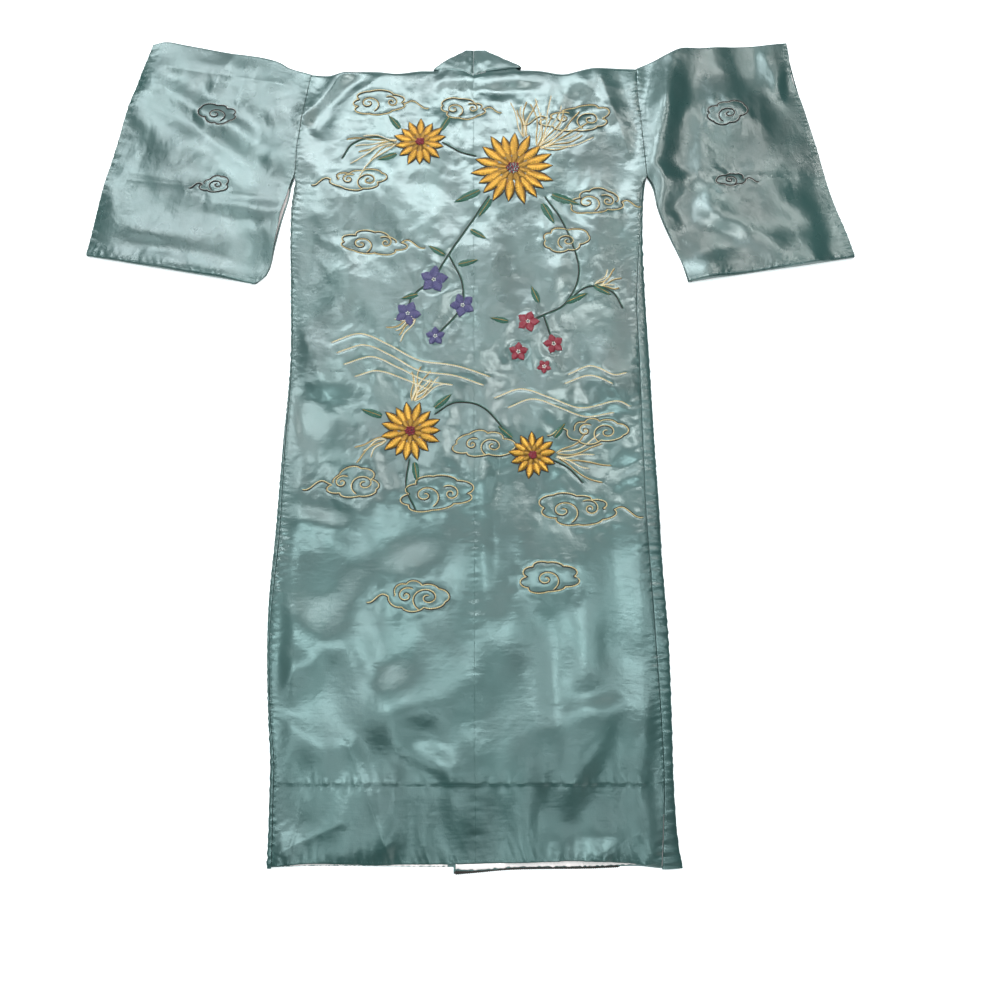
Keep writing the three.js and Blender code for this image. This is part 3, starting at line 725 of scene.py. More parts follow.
def satin_cloth(name, colour, warp_along=True):
    material, tree, shader = new_material(name)
    # Soft patches of lighter and darker base colour, 15% either way at some 60 to 150 mm: partly random
    # tone, partly painted sheen that stands for the satin's broad reflections.
    tone = ramp(tree, noise(tree, 7.5, 5.0, stretch=(1.5, 1, 1), distortion=0.6), [
        (0.36, shade(colour, 0.85)), (0.5, colour), (0.64, shade(colour, 1.15)),
    ])
    tree.links.new(tone, shader.inputs["Base Color"])
    stretch = (2600, 120, 1) if warp_along else (120, 2600, 1)
    weave = bump(tree, noise(tree, 1.0, 2.0, stretch=stretch, uv=True), 0.04, 0.0001)
    weft = bump(tree, noise(tree, 1.0, 3.0, stretch=(26, 240, 1), uv=True), 0.3, 0.0003, weave)
    crinkle = bump(tree, noise(tree, 85.0, 3.0, distortion=0.3), 0.25, 0.0012, weft)
    tree.links.new(crinkle, shader.inputs["Normal"])
    softer = tree.nodes.new("ShaderNodeSeparateXYZ")
    tree.links.new(tree.nodes.new("ShaderNodeTexCoord").outputs["Object"], softer.inputs["Vector"])
    matter = span(tree, softer.outputs["Y"], 0.30, 0.28, -0.2, 0.15)
    varied = tree.nodes.new("ShaderNodeMath")
    varied.operation = "ADD"
    tree.links.new(matter, varied.inputs[0])
    tree.links.new(span(tree, noise(tree, 30.0, 2.0), -0.03, 0.03), varied.inputs[1])
    tree.links.new(varied.outputs["Value"], shader.inputs["Roughness"])
    tangent = tree.nodes.new("ShaderNodeTangent")
    tangent.direction_type = "UV_MAP"
    tangent.uv_map = "thread"
    tree.links.new(tangent.outputs["Tangent"], shader.inputs["Tangent"])
    set_inputs(shader, {
        "Anisotropic": 0.55, "Metallic": 0.28, "Specular IOR Level": 1.0, "IOR": 1.7,
        "Sheen Weight": 0.15, "Sheen Roughness": 0.4,
    })
    return material


def lining_cloth(name, colour):
    material, tree, shader = new_material(name)
    tone = ramp(tree, noise(tree, 40.0, 3.0), [(0.3, shade(colour, 0.92)), (0.7, shade(colour, 1.05))])
    tree.links.new(tone, shader.inputs["Base Color"])
    weave = bump(tree, noise(tree, 1.0, 2.0, stretch=(1800, 1800, 1), uv=True), 0.15, 0.0002)
    tree.links.new(bump(tree, noise(tree, 120.0, 3.0), 0.2, 0.0008, weave), shader.inputs["Normal"])
    # The lining glows faintly in its own colour: painted light that lifts it out of the shade at the hem and
    # cuff.
    set_inputs(shader, {
        "Roughness": 0.55, "Sheen Weight": 0.2, "Emission Color": (*colour, 1), "Emission Strength": 0.2,
    })
    return material


def thread_fill(name, colour, metallic, rough=THREAD_ROUGH):
    """Embroidery thread: rows of strands across the UV map, each a little different."""
    material, tree, shader = new_material(name)
    place_by = tree.nodes.new("ShaderNodeTexCoord")
    strands = tree.nodes.new("ShaderNodeTexWave")
    strands.bands_direction = "X"
    set_inputs(strands, {"Scale": 520.0, "Distortion": 1.2, "Detail": 1.0})
    tree.links.new(place_by.outputs["UV"], strands.inputs["Vector"])
    varied = noise(tree, 1.0, 2.0, stretch=(2400, 90, 1), uv=True)
    tone = ramp(tree, varied, [(0.3, shade(colour, 0.35)), (0.5, colour), (0.72, shade(colour, 1.6))])
    tree.links.new(tone, shader.inputs["Base Color"])
    tree.links.new(bump(tree, strands.outputs["Fac"], 0.4, 0.0003), shader.inputs["Normal"])
    set_inputs(shader, {"Roughness": rough, "Metallic": metallic, "Sheen Weight": 0.2})
    return material


def floor_finish(name):
    material, tree, shader = new_material(name)
    tone = ramp(tree, noise(tree, 3.0, 3.0), [(0.3, (0.96, 0.96, 0.96)), (0.7, (0.98, 0.98, 0.98))])
    tree.links.new(tone, shader.inputs["Base Color"])
    set_inputs(shader, {"Emission Color": (1, 1, 1, 1), "Emission Strength": 0.5, "Roughness": 0.9})
    return material


# Settings shown in the panel
def size_property(name, description, default, low, high):
    words = description + ", in millimetres"
    return FloatProperty(name=name, description=words, default=default, min=low, max=high)


class RobeSizes(bpy.types.PropertyGroup):
    cell: size_property("Cloth cell", "Side of one mesh cell on the upper cloth", 2.1, 1.5, 12.0)
    rolled: size_property("Rolled edge", "Depth of the turned edge at hems and cuffs", 8.0, 2.0, 20.0)
    cord: size_property("Cord radius", "Radius of the couched cord", 0.85, 0.3, 2.0)
    pad: size_property("Padding", "Height of the padded embroidery", 2.4, 0.2, 4.0)
    stitch: size_property("Stitch length", "Length of one seam stitch", 2.6, 1.0, 6.0)


def colour_property(name, description, default):
    return FloatVectorProperty(
        name=name, description=description, subtype="COLOR", size=3, min=0.0, max=1.0, default=default
    )


class RobeColours(bpy.types.PropertyGroup):
    satin: colour_property("Satin", "Colour of the satin", (0.033, 0.096, 0.088))
    lining: colour_property("Lining", "Colour of the lining", (0.90, 0.80, 0.78))
    gold: colour_property("Gold", "Gold thread", (0.56, 0.29, 0.045))
    silver: colour_property("Silver", "Silver thread", (0.94, 0.91, 0.80))
    pale_gold: colour_property("Pale gold", "Pale gold thread of the cords", (0.86, 0.62, 0.30))
    brown: colour_property("Brown", "Brown thread", (0.022, 0.014, 0.010))
    green: colour_property("Green", "Dark green thread", (0.016, 0.10, 0.06))
    violet: colour_property("Violet", "Violet blue thread", (0.055, 0.045, 0.15))
    red: colour_property("Red", "Dark red thread", (0.24, 0.008, 0.024))


class RobeStage(bpy.types.PropertyGroup):
    camera_high: FloatProperty(
        name="Camera height", description="Height of the camera above the floor",
        default=1.1681, unit="LENGTH",
    )
    camera_tilt: FloatProperty(
        name="Camera tilt", description="Lean of the camera towards the neck",
        default=math.radians(10.6), subtype="ANGLE",
    )
    lens: FloatProperty(name="Lens", description="Focal length in millimetres", default=27.0)
    window: FloatProperty(name="Window light", description="Power of the window light", default=43.0)
    room: FloatProperty(name="Room light", description="Strength of the room's even light", default=0.07)


def sizes():
    return bpy.context.scene.robe_sizes


def colours():
    return bpy.context.scene.robe_colours


def finish_named(name, make, *details):
    """One shared material of each name."""
    return bpy.data.materials.get(name) or make(name, *details)


def body_satin():
    return finish_named("body_satin", satin_cloth, tuple(colours().satin))


# The sleeves take the body's satin 3% darker: painted shade, as the same cloth lies darker on the sleeves.
def sleeve_satin():
    return finish_named("sleeve_satin", satin_cloth, shade(tuple(colours().satin), 0.97), False)


# Upper cloth of one back half
def back_grid(side):
    cell = sizes().cell
    columns = int(292 / cell)
    side_top = shoulder_end(side)
    even_rows = np.arange(0, 1290, cell)
    even_rows = even_rows[np.abs(even_rows - TUCK_Y + 1) > 4.5]
    rows = np.sort(np.concatenate([even_rows, TUCK_Y + np.arange(-5, 4, 0.75), [1290]]))
    share = np.linspace(0, 1, columns + 1)[:, None]
    nominal = np.concatenate([rows, side_top - np.array([9, 7, 5, 3.4, 2.2, 1.2, 0.5, 0.0])])[None, :]
    inner = seam_x(nominal)
    outer = body_side(side, nominal) - side * SEAM_GAP
    x = mix(inner, outer, share)
    hem = read(BACK_HEM, x)
    top = top_line(x) - SEAM_GAP
    low = np.minimum(nominal, HEM_BLEND) / HEM_BLEND
    y = np.where(nominal < HEM_BLEND, mix(hem, HEM_BLEND, low), nominal)
    rise = (top - side_top) * ease((nominal - 1210) / 80)
    y = y + np.where(nominal >= 1210, rise, 0)
    inset = np.clip((top - y) / 9, 0, 1)
    rounded = np.sqrt(np.clip(1 - (1 - inset) ** 2, 0, 1))
    open_neck = np.where(np.abs(x) < NECK_HALF, 1 - ease((np.abs(x) - NECK_HALF + 8) / 8), 0)
    z = lay(x, y)
    z = mix(mix(2.0, z, rounded), z, open_neck)
    grid = place(x, y, z)
    return with_rolled_hem(with_sunk_seams(grid, side))


def with_sunk_seams(grid, side):
    """Dips the cloth into the centre and side seams, with a close column beside each edge."""
    first, last = grid[:1].copy(), grid[-1:].copy()
    near_first, near_last = first.copy(), last.copy()
    near_first[..., 0] += side * 0.4
    near_last[..., 0] -= side * 0.4
    first[..., 2] -= 0.12
    last[..., 2] -= 0.8 if side > 0 else 0.3
    return np.concatenate([first, grid[:1], near_first, grid[1:-1], near_last, grid[-1:], last], axis=0)


def with_rolled_hem(grid):
    """Turns the hem's edge under, as a sewn hem lies."""
    edge = grid[:, :1]
    depth = sizes().rolled
    steps = [(1.1, 0.0), (0.5, -0.15), (0.1, -0.5), (0.1, -1.0), (0.6, -1.4), (2.0, -1.6), (depth, -1.6)]
    turned = []
    for back, down in steps[::-1]:
        step = edge.copy()
        step[..., 1] += back - 0.5
        step[..., 2] += down
        turned.append(step)
    return np.concatenate(turned + [grid[:, 1:]], axis=1)


class OBJECT_OT_robe_back(bpy.types.Operator):
    """Builds the two back halves with the tuck above the hem"""

    bl_idname = "object.robe_back"
    bl_label = "Back Halves"

    def execute(self, context):
        for side, node in ((-1, "back_left"), (1, "back_right")):
            grid = back_grid(side)
            lay_cloth(node, grid, body_satin(), flip=side < 0)
        return {"FINISHED"}


# A front: flat under the back, round the side edge and up to the side seam
def front_grid(side):
    rows = np.concatenate([np.arange(0, 1086, 3.0), [1092, 1097, 1103, 1108], np.arange(1112, 1300, 6.0)])
    side_top = shoulder_end(side)
    rows = np.concatenate([rows[rows < side_top - 6], [side_top - 5, side_top - 0.4]])
    edge = body_side(side, rows, 2)
    edge = edge + side * 0.5 * pucker(0 * rows, rows, 10, 14, 31 + side) * ease((UNDERARM_Y - rows) / 60)
    seam = body_side(side, rows) + side * SEAM_GAP
    wrapped = rows <= WRAP_TOP
    radius = np.where(wrapped, 1.5, 0.4)
    top = np.where(wrapped, lay(seam, rows), LOW_CLOTH + 0.8)
    turn = edge - side * radius
    rise = ease((rows - SHOULDER_FROM) / 80)
    inner_rows = np.minimum(rows + (SHOULDER_TOP - side_top) * rise, SHOULDER_TOP)
    inner = band_seam(side, inner_rows)
    under = 40
    lines = []
    for share in np.linspace(0, 1, under):
        lines.append(place(mix(inner, turn, share), rows, LOW_CLOTH))
    middle = np.where(wrapped, LOW_CLOTH + radius if side > 0 else top - 1.4, LOW_CLOTH + radius)
    for angle in np.linspace(0, math.pi / 2, 7)[1:]:
        up = (middle - LOW_CLOTH) * (1 - math.cos(angle))
        lines.append(place(turn + side * radius * math.sin(angle), rows, LOW_CLOTH + up))
    strip = np.maximum(side * (edge - seam), 0.5)
    for share in np.linspace(0, 1, 15)[1:]:
        across = side * strip * (1 - math.cos(share * math.pi / 2))
        crease = 0.5 * math.sin(math.pi * share) * pucker(0 * rows, rows, 10, 12, 41 + side)
        height = mix(middle, top + 0.5, math.sin(share * math.pi / 2) ** 0.9) + np.where(wrapped, crease, 0)
        lines.append(place(edge - across, rows, height))
    lines.append(place(seam, rows, top - 0.8))
    grid = np.stack(lines, axis=0)
    x = grid[..., 0]
    hem = front_hem(side, x)
    shoulder = read(SHOULDER, x) - SEAM_GAP
    y = grid[..., 1]
    y = np.where(y < HEM_BLEND, mix(hem, HEM_BLEND, y / HEM_BLEND), y)
    y = y + np.where(y > SHOULDER_FROM, (shoulder - side_top) * ease((y - SHOULDER_FROM) / 80), 0)
    z = grid[..., 2]
    if side > 0:
        z = z + np.where(np.arange(len(lines))[:, None] < under, lift_over(x, y), 0)
    return place(x, y, z)


class OBJECT_OT_robe_fronts(bpy.types.Operator):
    """Builds the two fronts, which turn up round the sides"""

    bl_idname = "object.robe_fronts"
    bl_label = "Fronts"

    def execute(self, context):
        for side, node in ((-1, "front_left"), (1, "front_right")):
            grid = front_grid(side)
            lay_cloth(node, grid, body_satin(), flip=side < 0)
        return {"FINISHED"}


# A sleeve: one cloth folded at its top and closed along its bottom edge
def sleeve_plan(side, s, t):
    inner, cuff = (RIGHT_INNER, RIGHT_CUFF) if side > 0 else (LEFT_INNER, LEFT_CUFF)
    inner_y = mix(inner[0, 0], inner[-1, 0], t)
    cuff_y = mix(cuff[0, 0], cuff[-1, 0], t)
    rise = read(RIGHT_TOP if side > 0 else LEFT_TOP, s) * ease((t - 0.55) / 0.45)
    x = mix(read(inner, inner_y) + side * SEAM_GAP, read(cuff, cuff_y), s)
    return x, mix(inner_y, cuff_y, s) + rise


def sleeve_grid(side):
    cell = sizes().cell
    upper = np.linspace(0, 1, int(410 / cell))
    lower = np.linspace(1, 0, 30)
    turns = np.array([0.12, 0.25, 0.38, 0.5, 0.62, 0.75, 0.88])
    share = np.concatenate([upper, np.ones(SLEEVE_TURNS), lower, np.zeros(SLEEVE_TURNS)])[:, None]
    turn = np.concatenate([0 * upper, turns, 0 * lower + 1, turns[::-1]])[:, None]
    s = np.concatenate([[0, 0.002], np.linspace(0.008, 0.992, int(280 / cell)), [0.998, 1]])[None, :]
    low_x, low_y = sleeve_plan(side, s, 0.0)
    high_x, high_y = sleeve_plan(side, s, 1.0)
    tall = np.hypot(high_x - low_x, high_y - low_y)
    radius = (lay(high_x, high_y - 6) - LOW_CLOTH) / 2
    inset = radius / tall
    tip = inset * np.sin(turn * math.pi)
    t = mix(inset, 1 - inset, share)
    t = np.where((share == 1) & (turn > 0), 1 - inset + tip, t)
    t = np.where((share == 0) & (turn > 0), inset - tip, t)
    x, y = sleeve_plan(side, s, t)
    upward = np.maximum(0, 1 - 2 * turn)
    cuff_short = 7 * np.exp(-(((t - 0.83) / 0.1) ** 2)) if side > 0 else 0
    inner_short = 4 * np.exp(-(((t - 0.36) / 0.1) ** 2)) if side < 0 else 0
    x = x - side * upward * (s * s * cuff_short - (1 - s) ** 4 * inner_short)
    top = lay(x, y)
    middle, half = (top + LOW_CLOTH) / 2, (top - LOW_CLOTH) / 2
    grid = place(x, y, middle + half * np.cos(turn * math.pi))
    return with_turned_ends(grid, side, middle)


def with_turned_ends(grid, side, middle):
    """Turns the cloth inwards at the cuff and at the inner edge."""
    def turned(column, out, depth):
        steps = []
        for away, closer in ((0.5, 0.25), (0.2, 0.6), (-1.0, 0.75), (-depth, 0.8)):
            ring = grid[:, column:column + 1].copy()
            centre = middle[:, column:column + 1]
            ring[..., 0] += out * away
            reach = ring[..., 2] - centre
            ring[..., 2] = centre + np.sign(reach) * np.maximum(np.abs(reach) - 1.6 * closer, 0)
            steps.append(ring)
        return steps
    depth = sizes().rolled
    start = turned(0, -side, depth * 0.6)
    for ring in start:
        ring[..., 0] += side * 0.5
    end = turned(grid.shape[1] - 1, side, depth)
    return np.concatenate(start[::-1] + [grid] + end, axis=1)


class OBJECT_OT_robe_sleeves(bpy.types.Operator):
    """Builds the two drop sleeves"""

    bl_idname = "object.robe_sleeves"
    bl_label = "Sleeves"

    def execute(self, context):
        for side, node in ((-1, "sleeve_left"), (1, "sleeve_right")):
            grid = sleeve_grid(side)
            lay_cloth(node, grid, sleeve_satin(), True, side > 0)
        return {"FINISHED"}


# The collar: flat above the neck seam, folded under beside it, down the front edge
def collar_grid(side):
    neck_edge = NECK_HALF if side > 0 else -NECK_HALF - 2
    fold_outer = SEAM_AT_NECK + side * (13 + (7 if side > 0 else 0))
    centre = SEAM_AT_NECK + side * SEAM_GAP / 2
    outer_y = NECK_Y + COLLAR_WIDTH
    down = np.concatenate([np.arange(1285, 60, -20.0), [40, 20]])
    lines = []
    for v in np.linspace(0, 1, 25):
        fold_x = mix(neck_edge - side * SEAM_GAP, fold_outer, v)
        x = mix(centre, fold_x, np.linspace(0, 1, 24))
        y = mix(neck_line(x) + SEAM_GAP, outer_y, v)
        crown = 1.6 * math.sin(math.pi * min(1.0, v * 1.15)) + (-1.2 if v == 0 else 0)
        z = mix(np.maximum(lay(x, neck_line(x) - 8), LAY_BODY), LAY_COLLAR_EDGE, v) + crown
        z = z - 1.2 * np.exp(-(((x - centre) / 2.5) ** 2))
        z = z + 0.35 * waves(41, 12, 14, 40, x, y) * math.sin(math.pi * v)
        radius = (z[-1] - LOW_CLOTH) / 2
        angle = np.linspace(0, math.pi, 9)[1:]
        out = radius * np.sin(angle)
        fold_y = y[-1]
        seam = band_seam(side, down) - side * SEAM_GAP
        down_x = seam - side * v * COLLAR_WIDTH
        down_z = LOW_CLOTH + (lift_over(down_x, down) if side > 0 else 0 * down)
        hem_x = band_seam(side, 0) - side * (SEAM_GAP + v * COLLAR_WIDTH)
        hem_y = front_hem(side, hem_x)
        hem_z = LOW_CLOTH + (lift_over(hem_x, hem_y) if side > 0 else 0)
        lines.append(np.concatenate([
            place(x, y, z),
            place(fold_x + side * 0.55 * out, fold_y + 0.83 * out, LOW_CLOTH + radius * (1 + np.cos(angle))),
            place(down_x, down, down_z),
            place(np.array([hem_x]), np.array([hem_y]), hem_z),
        ]))
    return np.stack(lines, axis=0)


class OBJECT_OT_robe_collar(bpy.types.Operator):
    """Builds the collar band, folded under beside the neck and down both front edges"""

    bl_idname = "object.robe_collar"
    bl_label = "Collar Band"

    def execute(self, context):
        for side, node in ((-1, "collar_left"), (1, "collar_right")):
            grid = collar_grid(side)
            lay_cloth(node, grid, body_satin(), flip=side > 0)
        return {"FINISHED"}


# Linings, built only where they show
def hem_lining_grid(side):
    start, end = (-24, 292) if side > 0 else (-288, -36)
    x = np.linspace(start, end, int(abs(end - start) / 1.6))[:, None]
    share = np.concatenate([[0, 0.01], np.linspace(0.03, 1, 22)])[None, :]
    edge = 2.5 + 4.5 * np.exp(-(x + 24) / 22) if side > 0 else 1.0
    y = front_hem(side, x) + edge + share * 72
    z = 1.9 + (lift_over(x, y) if side > 0 else 0) + 0.6 * np.exp(-share * 8)
    gathers = 0.5 * pucker(0 * x, x, 10, 7, 51 + side) + 0.4 * pucker(0 * x, x, 10, 15, 55 + side)
    z = z + gathers * np.exp(-share * 9) + 0.25 * waves(51 + side, 10, 12, 40, x, y) * (1 - share)
    z = np.where(y > read(BACK_HEM, x), np.minimum(z, lay(x, y) - 2.3), z)
    return place(x, y - 0.8 * gathers * np.exp(-share * 12), z - np.where(share == 0, 0.7, 0))


def sleeve_lining_grid(side, low, high, at_cuff, deep):
    t = np.linspace(low, high, 60)[:, None]
    share = np.linspace(0, 1, 16)[None, :]
    x0, y0 = sleeve_plan(side, 1.0 if at_cuff else 0.0, t)
    inward = (-side if at_cuff else side) * (2.5 + share * deep)
    slope = (sleeve_plan(side, 1.0, t)[1] - sleeve_plan(side, 0.0, t)[1]) / 280
    x, y = x0 + inward, y0 + inward * slope * side
    return place(x, y, 2.0 + 0.3 * waves(61, 10, 12, 30, x, y))


def hem_roll():
    """The lower edge of the right front, rolled up below the lining, in the near-black brown thread finish
    as painted shade.
    """
    x = np.arange(-26.5, 215, 1.6)
    radius = 1.3 + 1.7 * np.exp(-(x + 26.5) / 18)
    return tube(plan(x, front_hem(1, x) + radius - 1.2), radius, 0, LOW_CLOTH + radius)


class OBJECT_OT_robe_linings(bpy.types.Operator):
    """Builds the pale linings at the hem, the right cuff and the left underarm, and the right front's hem
    roll in painted shade
    """

    bl_idname = "object.robe_linings"
    bl_label = "Linings"

    def execute(self, context):
        cloth = finish_named("pale_lining", lining_cloth, tuple(colours().lining))
        cuff = sleeve_lining_grid(1, 0.06, 0.95, True, 55)
        underarm = sleeve_lining_grid(-1, 0.05, 0.44, False, 42)
        made = (
            ("hem_lining_left", hem_lining_grid(-1), (0.252, 0.072), "cloth_front_left"),
            ("hem_lining_right", hem_lining_grid(1), (0.316, 0.072), "cloth_front_right"),
            ("cuff_lining_right", cuff, (0.055, 0.37), "cloth_sleeve_right"),
            ("underarm_lining_left", underarm, (0.042, 0.16), "cloth_sleeve_left"),
        )
        for node, grid, flat, under in made:
            lay_cloth(node, grid, cloth, flip=side_up(grid) < 0)
        # The hem roll is a tube in the near-black brown thread finish: painted shade below the lining's
        # edge.
        add_thread("front_hem_roll", [hem_roll()], thread("brown"))
        return {"FINISHED"}


def side_up(grid):
    """Sign of the grid's facing along Z."""
    across = grid[1, 0] - grid[0, 0]
    along = grid[0, 1] - grid[0, 0]
    return np.sign(across[0] * along[1] - across[1] * along[0])


# Thread work
def even(path, step):
    """The same path with points at even steps."""
    run = np.concatenate([[0], np.cumsum(np.hypot(*np.diff(path, axis=0).T))])
    at = np.linspace(0, run[-1], max(4, int(run[-1] / step) + 1))
    return plan(np.interp(at, run, path[:, 0]), np.interp(at, run, path[:, 1]))


def soft_path(points):
    """A soft curve through the points."""
    points = np.asarray(points, float)
    points = np.vstack([2 * points[:1] - points[1:2], points, 2 * points[-1:] - points[-2:-1]])
    t = np.linspace(0, 1, 20, endpoint=False)[:, None]
    curve = []
    for a, b, c, d in zip(points[:-3], points[1:-2], points[2:-1], points[3:]):
        bend = (2 * a - 5 * b + 4 * c - d) * t * t + (3 * b - a - 3 * c + d) * t**3
        curve.append(0.5 * (2 * b + (c - a) * t + bend))
    curve.append(points[-2:-1])
    return even(np.concatenate(curve), CORD_STEP)


def sideways(path):
    ahead = np.gradient(path, axis=0)
    ahead /= np.maximum(np.linalg.norm(ahead, axis=1, keepdims=True), 1e-9)
    return plan(-ahead[:, 1], ahead[:, 0])


def tube(path, radius, lift, height=None):
    """A twisted cord laid along the path on the cloth: points, faces and thread map."""
    count, sides = len(path), 5
    side = sideways(path)
    beads = radius * (1 + 0.2 * np.cos(np.arange(count) * math.pi))
    ends = np.minimum(np.arange(count), np.arange(count)[::-1])
    beads = beads * np.clip(0.25 + ends * 0.4, 0.25, 1)
    turn = np.linspace(0, 2 * math.pi, sides, endpoint=False)
    height = lay(path[:, 0], path[:, 1]) + lift if height is None else height + 0 * beads
    flat = path[:, None, :] + side[:, None, :] * (beads[:, None] * np.cos(turn))[..., None]
    up = height[:, None] + 0.85 * beads[:, None] * np.sin(turn)
    rings = np.concatenate([flat, up[..., None]], axis=-1)
    faces = grid_faces_round(count, sides)
    faces += [tuple(range(sides)), tuple(range(count * sides - 1, (count - 1) * sides - 1, -1))]
    along = np.arange(count)[:, None] * 0.0016 + 0 * turn
    around = np.arange(sides)[None, :] * 0.001 + 0 * along
    return rings.reshape(-1, 3), faces, np.stack([along, around], axis=-1).reshape(-1, 2)


def grid_faces_round(rows, columns):
    """Faces of a closed tube of rings, facing out."""
    i, j = np.meshgrid(np.arange(rows - 1), np.arange(columns), indexing="ij")
    a = i * columns + j
    b = i * columns + (j + 1) % columns
    corners = np.stack([a, b, b + columns, a + columns], axis=-1)
    return [tuple(face) for face in corners.reshape(-1, 4).tolist()]


def add_thread(name, parts, material):
    """Joins many small parts of one thread colour in one piece."""
    points, faces, uvs, start = [], [], [], 0
    for part, part_faces, part_uvs in parts:
        points.append(part)
        uvs.append(part_uvs)
        faces += [tuple(i + start for i in face) for face in part_faces]
        start += len(part)
    piece = add_piece(name, np.concatenate(points), faces, np.concatenate(uvs), material)
    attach(piece, "root")


def petal(base, angle, long, wide, pad, belly, seed):
    """Padded satin stitch in the shape of a petal or leaf: strands laid side by side across it."""
    rng = np.random.RandomState(seed)
    strands = max(6, int(long / 0.9))
    t = np.linspace(0.03, 0.985, strands * 2)[:, None]
    across = np.linspace(-1, 1, 7)[None, :]
    uneven = 1 + 0.07 * np.repeat(rng.randn(strands), 2)[:, None]
    half = wide / 2 * np.sin(math.pi * t**belly) ** 0.7 * uneven
    slant = 0.16 * wide * across**2
    along = t * long - slant
    off = across * half
    x, y = outward(*base, angle, along, off)
    ridge = 0.16 * (np.arange(strands * 2) % 2)[:, None] * (1 - across**4)
    dome = pad * np.sqrt(np.clip(1 - across**2, 0, 1)) * np.clip(half / 4.0, 0.25, 1)
    z = lay(x, y) + dome + ridge - 0.35 * (np.abs(across) == 1)
    uvs = np.stack([along + 0 * off, off + 0 * along], axis=-1).reshape(-1, 2) * MM
    faces = grid_faces(strands * 2, 7)
    return place(x, y, z).reshape(-1, 3), faces, uvs


def outer_petal(reach, outer, turned, i):
    """Direction, length and width of one outer petal, each a little unlike the next."""
    angle = 2 * math.pi * i / outer + math.radians(turned) + 0.05 * math.sin(i * 5.1)
    long = reach * (0.64 + 0.06 * math.sin(i * 2.3))
    return angle, long, 2.35 * math.pi * reach * 0.68 / outer * 0.82


def petal_outline(x, y, reach, outer, turned, i):
    """The line of dark cord round one outer petal."""
    angle, long, wide = outer_petal(reach, outer, turned, i)
    t = np.linspace(0.3, 1, 24)
    half = (wide / 2 + 0.4) * np.sin(math.pi * t**0.9) ** 0.7
    off = np.concatenate([half, -half[::-1]])
    along = np.concatenate([t * long, (t * long)[::-1]])
    along = along + PETAL_START * reach - 0.16 * wide * (np.abs(off) > 1)
    return plan(*outward(x, y, angle, along, off))


def knot(x, y, radius, lift):
    """A small wound knot of thread."""
    rings, sides = 5, 7
    fall = np.linspace(0.12, math.pi * 0.62, rings)[:, None]
    turn = np.linspace(0, 2 * math.pi, sides, endpoint=False)[None, :]
    px = x + radius * np.sin(fall) * np.cos(turn)
    py = y + radius * np.sin(fall) * np.sin(turn)
    pz = lay(x, y) + lift + radius * 0.8 * np.cos(fall) + 0 * turn
    faces = [tuple(face[::-1]) for face in grid_faces_round(rings, sides)] + [tuple(range(sides))]
    uvs = np.stack([px * MM, py * MM], axis=-1).reshape(-1, 2)
    return place(px, py, pz).reshape(-1, 3), faces, uvs


def cloud_paths(x, y, wide, high, lobes, turn, tail):
    """A scalloped ring that ends in a tail, and a curl inside it."""
    angle = np.linspace(0, 2 * math.pi, 200)
    scallop = np.abs(np.sin((lobes * angle + 0.9 * np.sin(angle + x)) / 2)) ** 0.6
    deep = 0.17 + 0.09 * np.sin(2 * angle + y)
    uneven = 1 + 0.11 * np.sin(2 * angle + x) + 0.07 * np.sin(3 * angle + y)
    reach = (1 - deep + deep * scallop) * uneven
    if tail:
        reach = reach * (1 - 0.2 * angle / (2 * math.pi))
    flat = np.where(np.sin(angle) > 0, 0.86, 1.0)
    ring = plan(x + turn * wide / 2 * reach * np.cos(angle), y - high / 2 * flat * reach * np.sin(angle))
    if tail:
        away = np.linspace(0.15, 1, 12)
        waver = 0.14 * tail * np.sin(away * 5.5)
        streak = plan(ring[0, 0] + turn * tail * away, ring[0, 1] - 0.16 * tail * away + waver)
        ring = np.concatenate([streak[::-1], ring])
    wind = np.linspace(0, 3.0 * math.pi, 90)
    radius = 0.33 * high * np.exp(-0.2 * wind)
    middle = x - turn * (0.05 if wide < 90 else 0.16) * wide
    curl_y = y - 0.03 * high + radius * np.sin(wind - 1.1)
    paths = [ring, plan(middle + turn * radius * 1.3 * np.cos(wind - 1.1), curl_y)]
    if wide > 90:
        second_x = x + turn * 0.2 * wide - turn * 0.8 * radius * np.cos(wind + 0.8)
        paths.append(plan(second_x, y + 0.02 * high + 0.7 * radius * np.sin(wind + 0.8)))
    return paths


def cords(paths, radius, off, lift=0.45):
    parts = []
    for path in paths:
        line = even(path, CORD_STEP)
        if off:
            line = even(line + off * sideways(line), CORD_STEP)
        parts.append(tube(line, radius, lift))
    return parts


class OBJECT_OT_robe_clouds(bpy.types.Operator):
    """Embroiders the swirl clouds in couched cord"""

    bl_idname = "object.robe_clouds"
    bl_label = "Clouds"

    def execute(self, context):
        radius = sizes().cord
        doubled = [path for row in CLOUDS if row[7] for path in cloud_paths(*row[:7])]
        plain = [path for row in CLOUDS if not row[7] for path in cloud_paths(*row[:7])]
        rows = (
            ("cloud_cord_bright", doubled, 1.0, 0.75, 0.45, "pale_gold", "gold_thread"),
            # The brown cord beside the pale one is partly the cord's own dark thread and partly a painted
            # shadow line along it.
            ("cloud_cord_dark", doubled, 1.0, -1.05, 0.35, "brown", "dark_thread"),
            # On the sleeves the cord is dark; the thin silver cord beside it is partly silver thread and
            # partly a painted highlight along the dark cord.
            ("cloud_cord_sleeves", plain, 0.25, 1.3, 0.45, "silver", "silver_thread"),
            ("cloud_cord_sleeves_dark", plain, 1.3, -0.3, 0.5, "brown", "dark_thread"),
        )
        for name, paths, thick, off, lift, colour, slot in rows:
            add_thread(name, cords(paths, radius * thick, off * radius, lift), thread(colour))
        return {"FINISHED"}


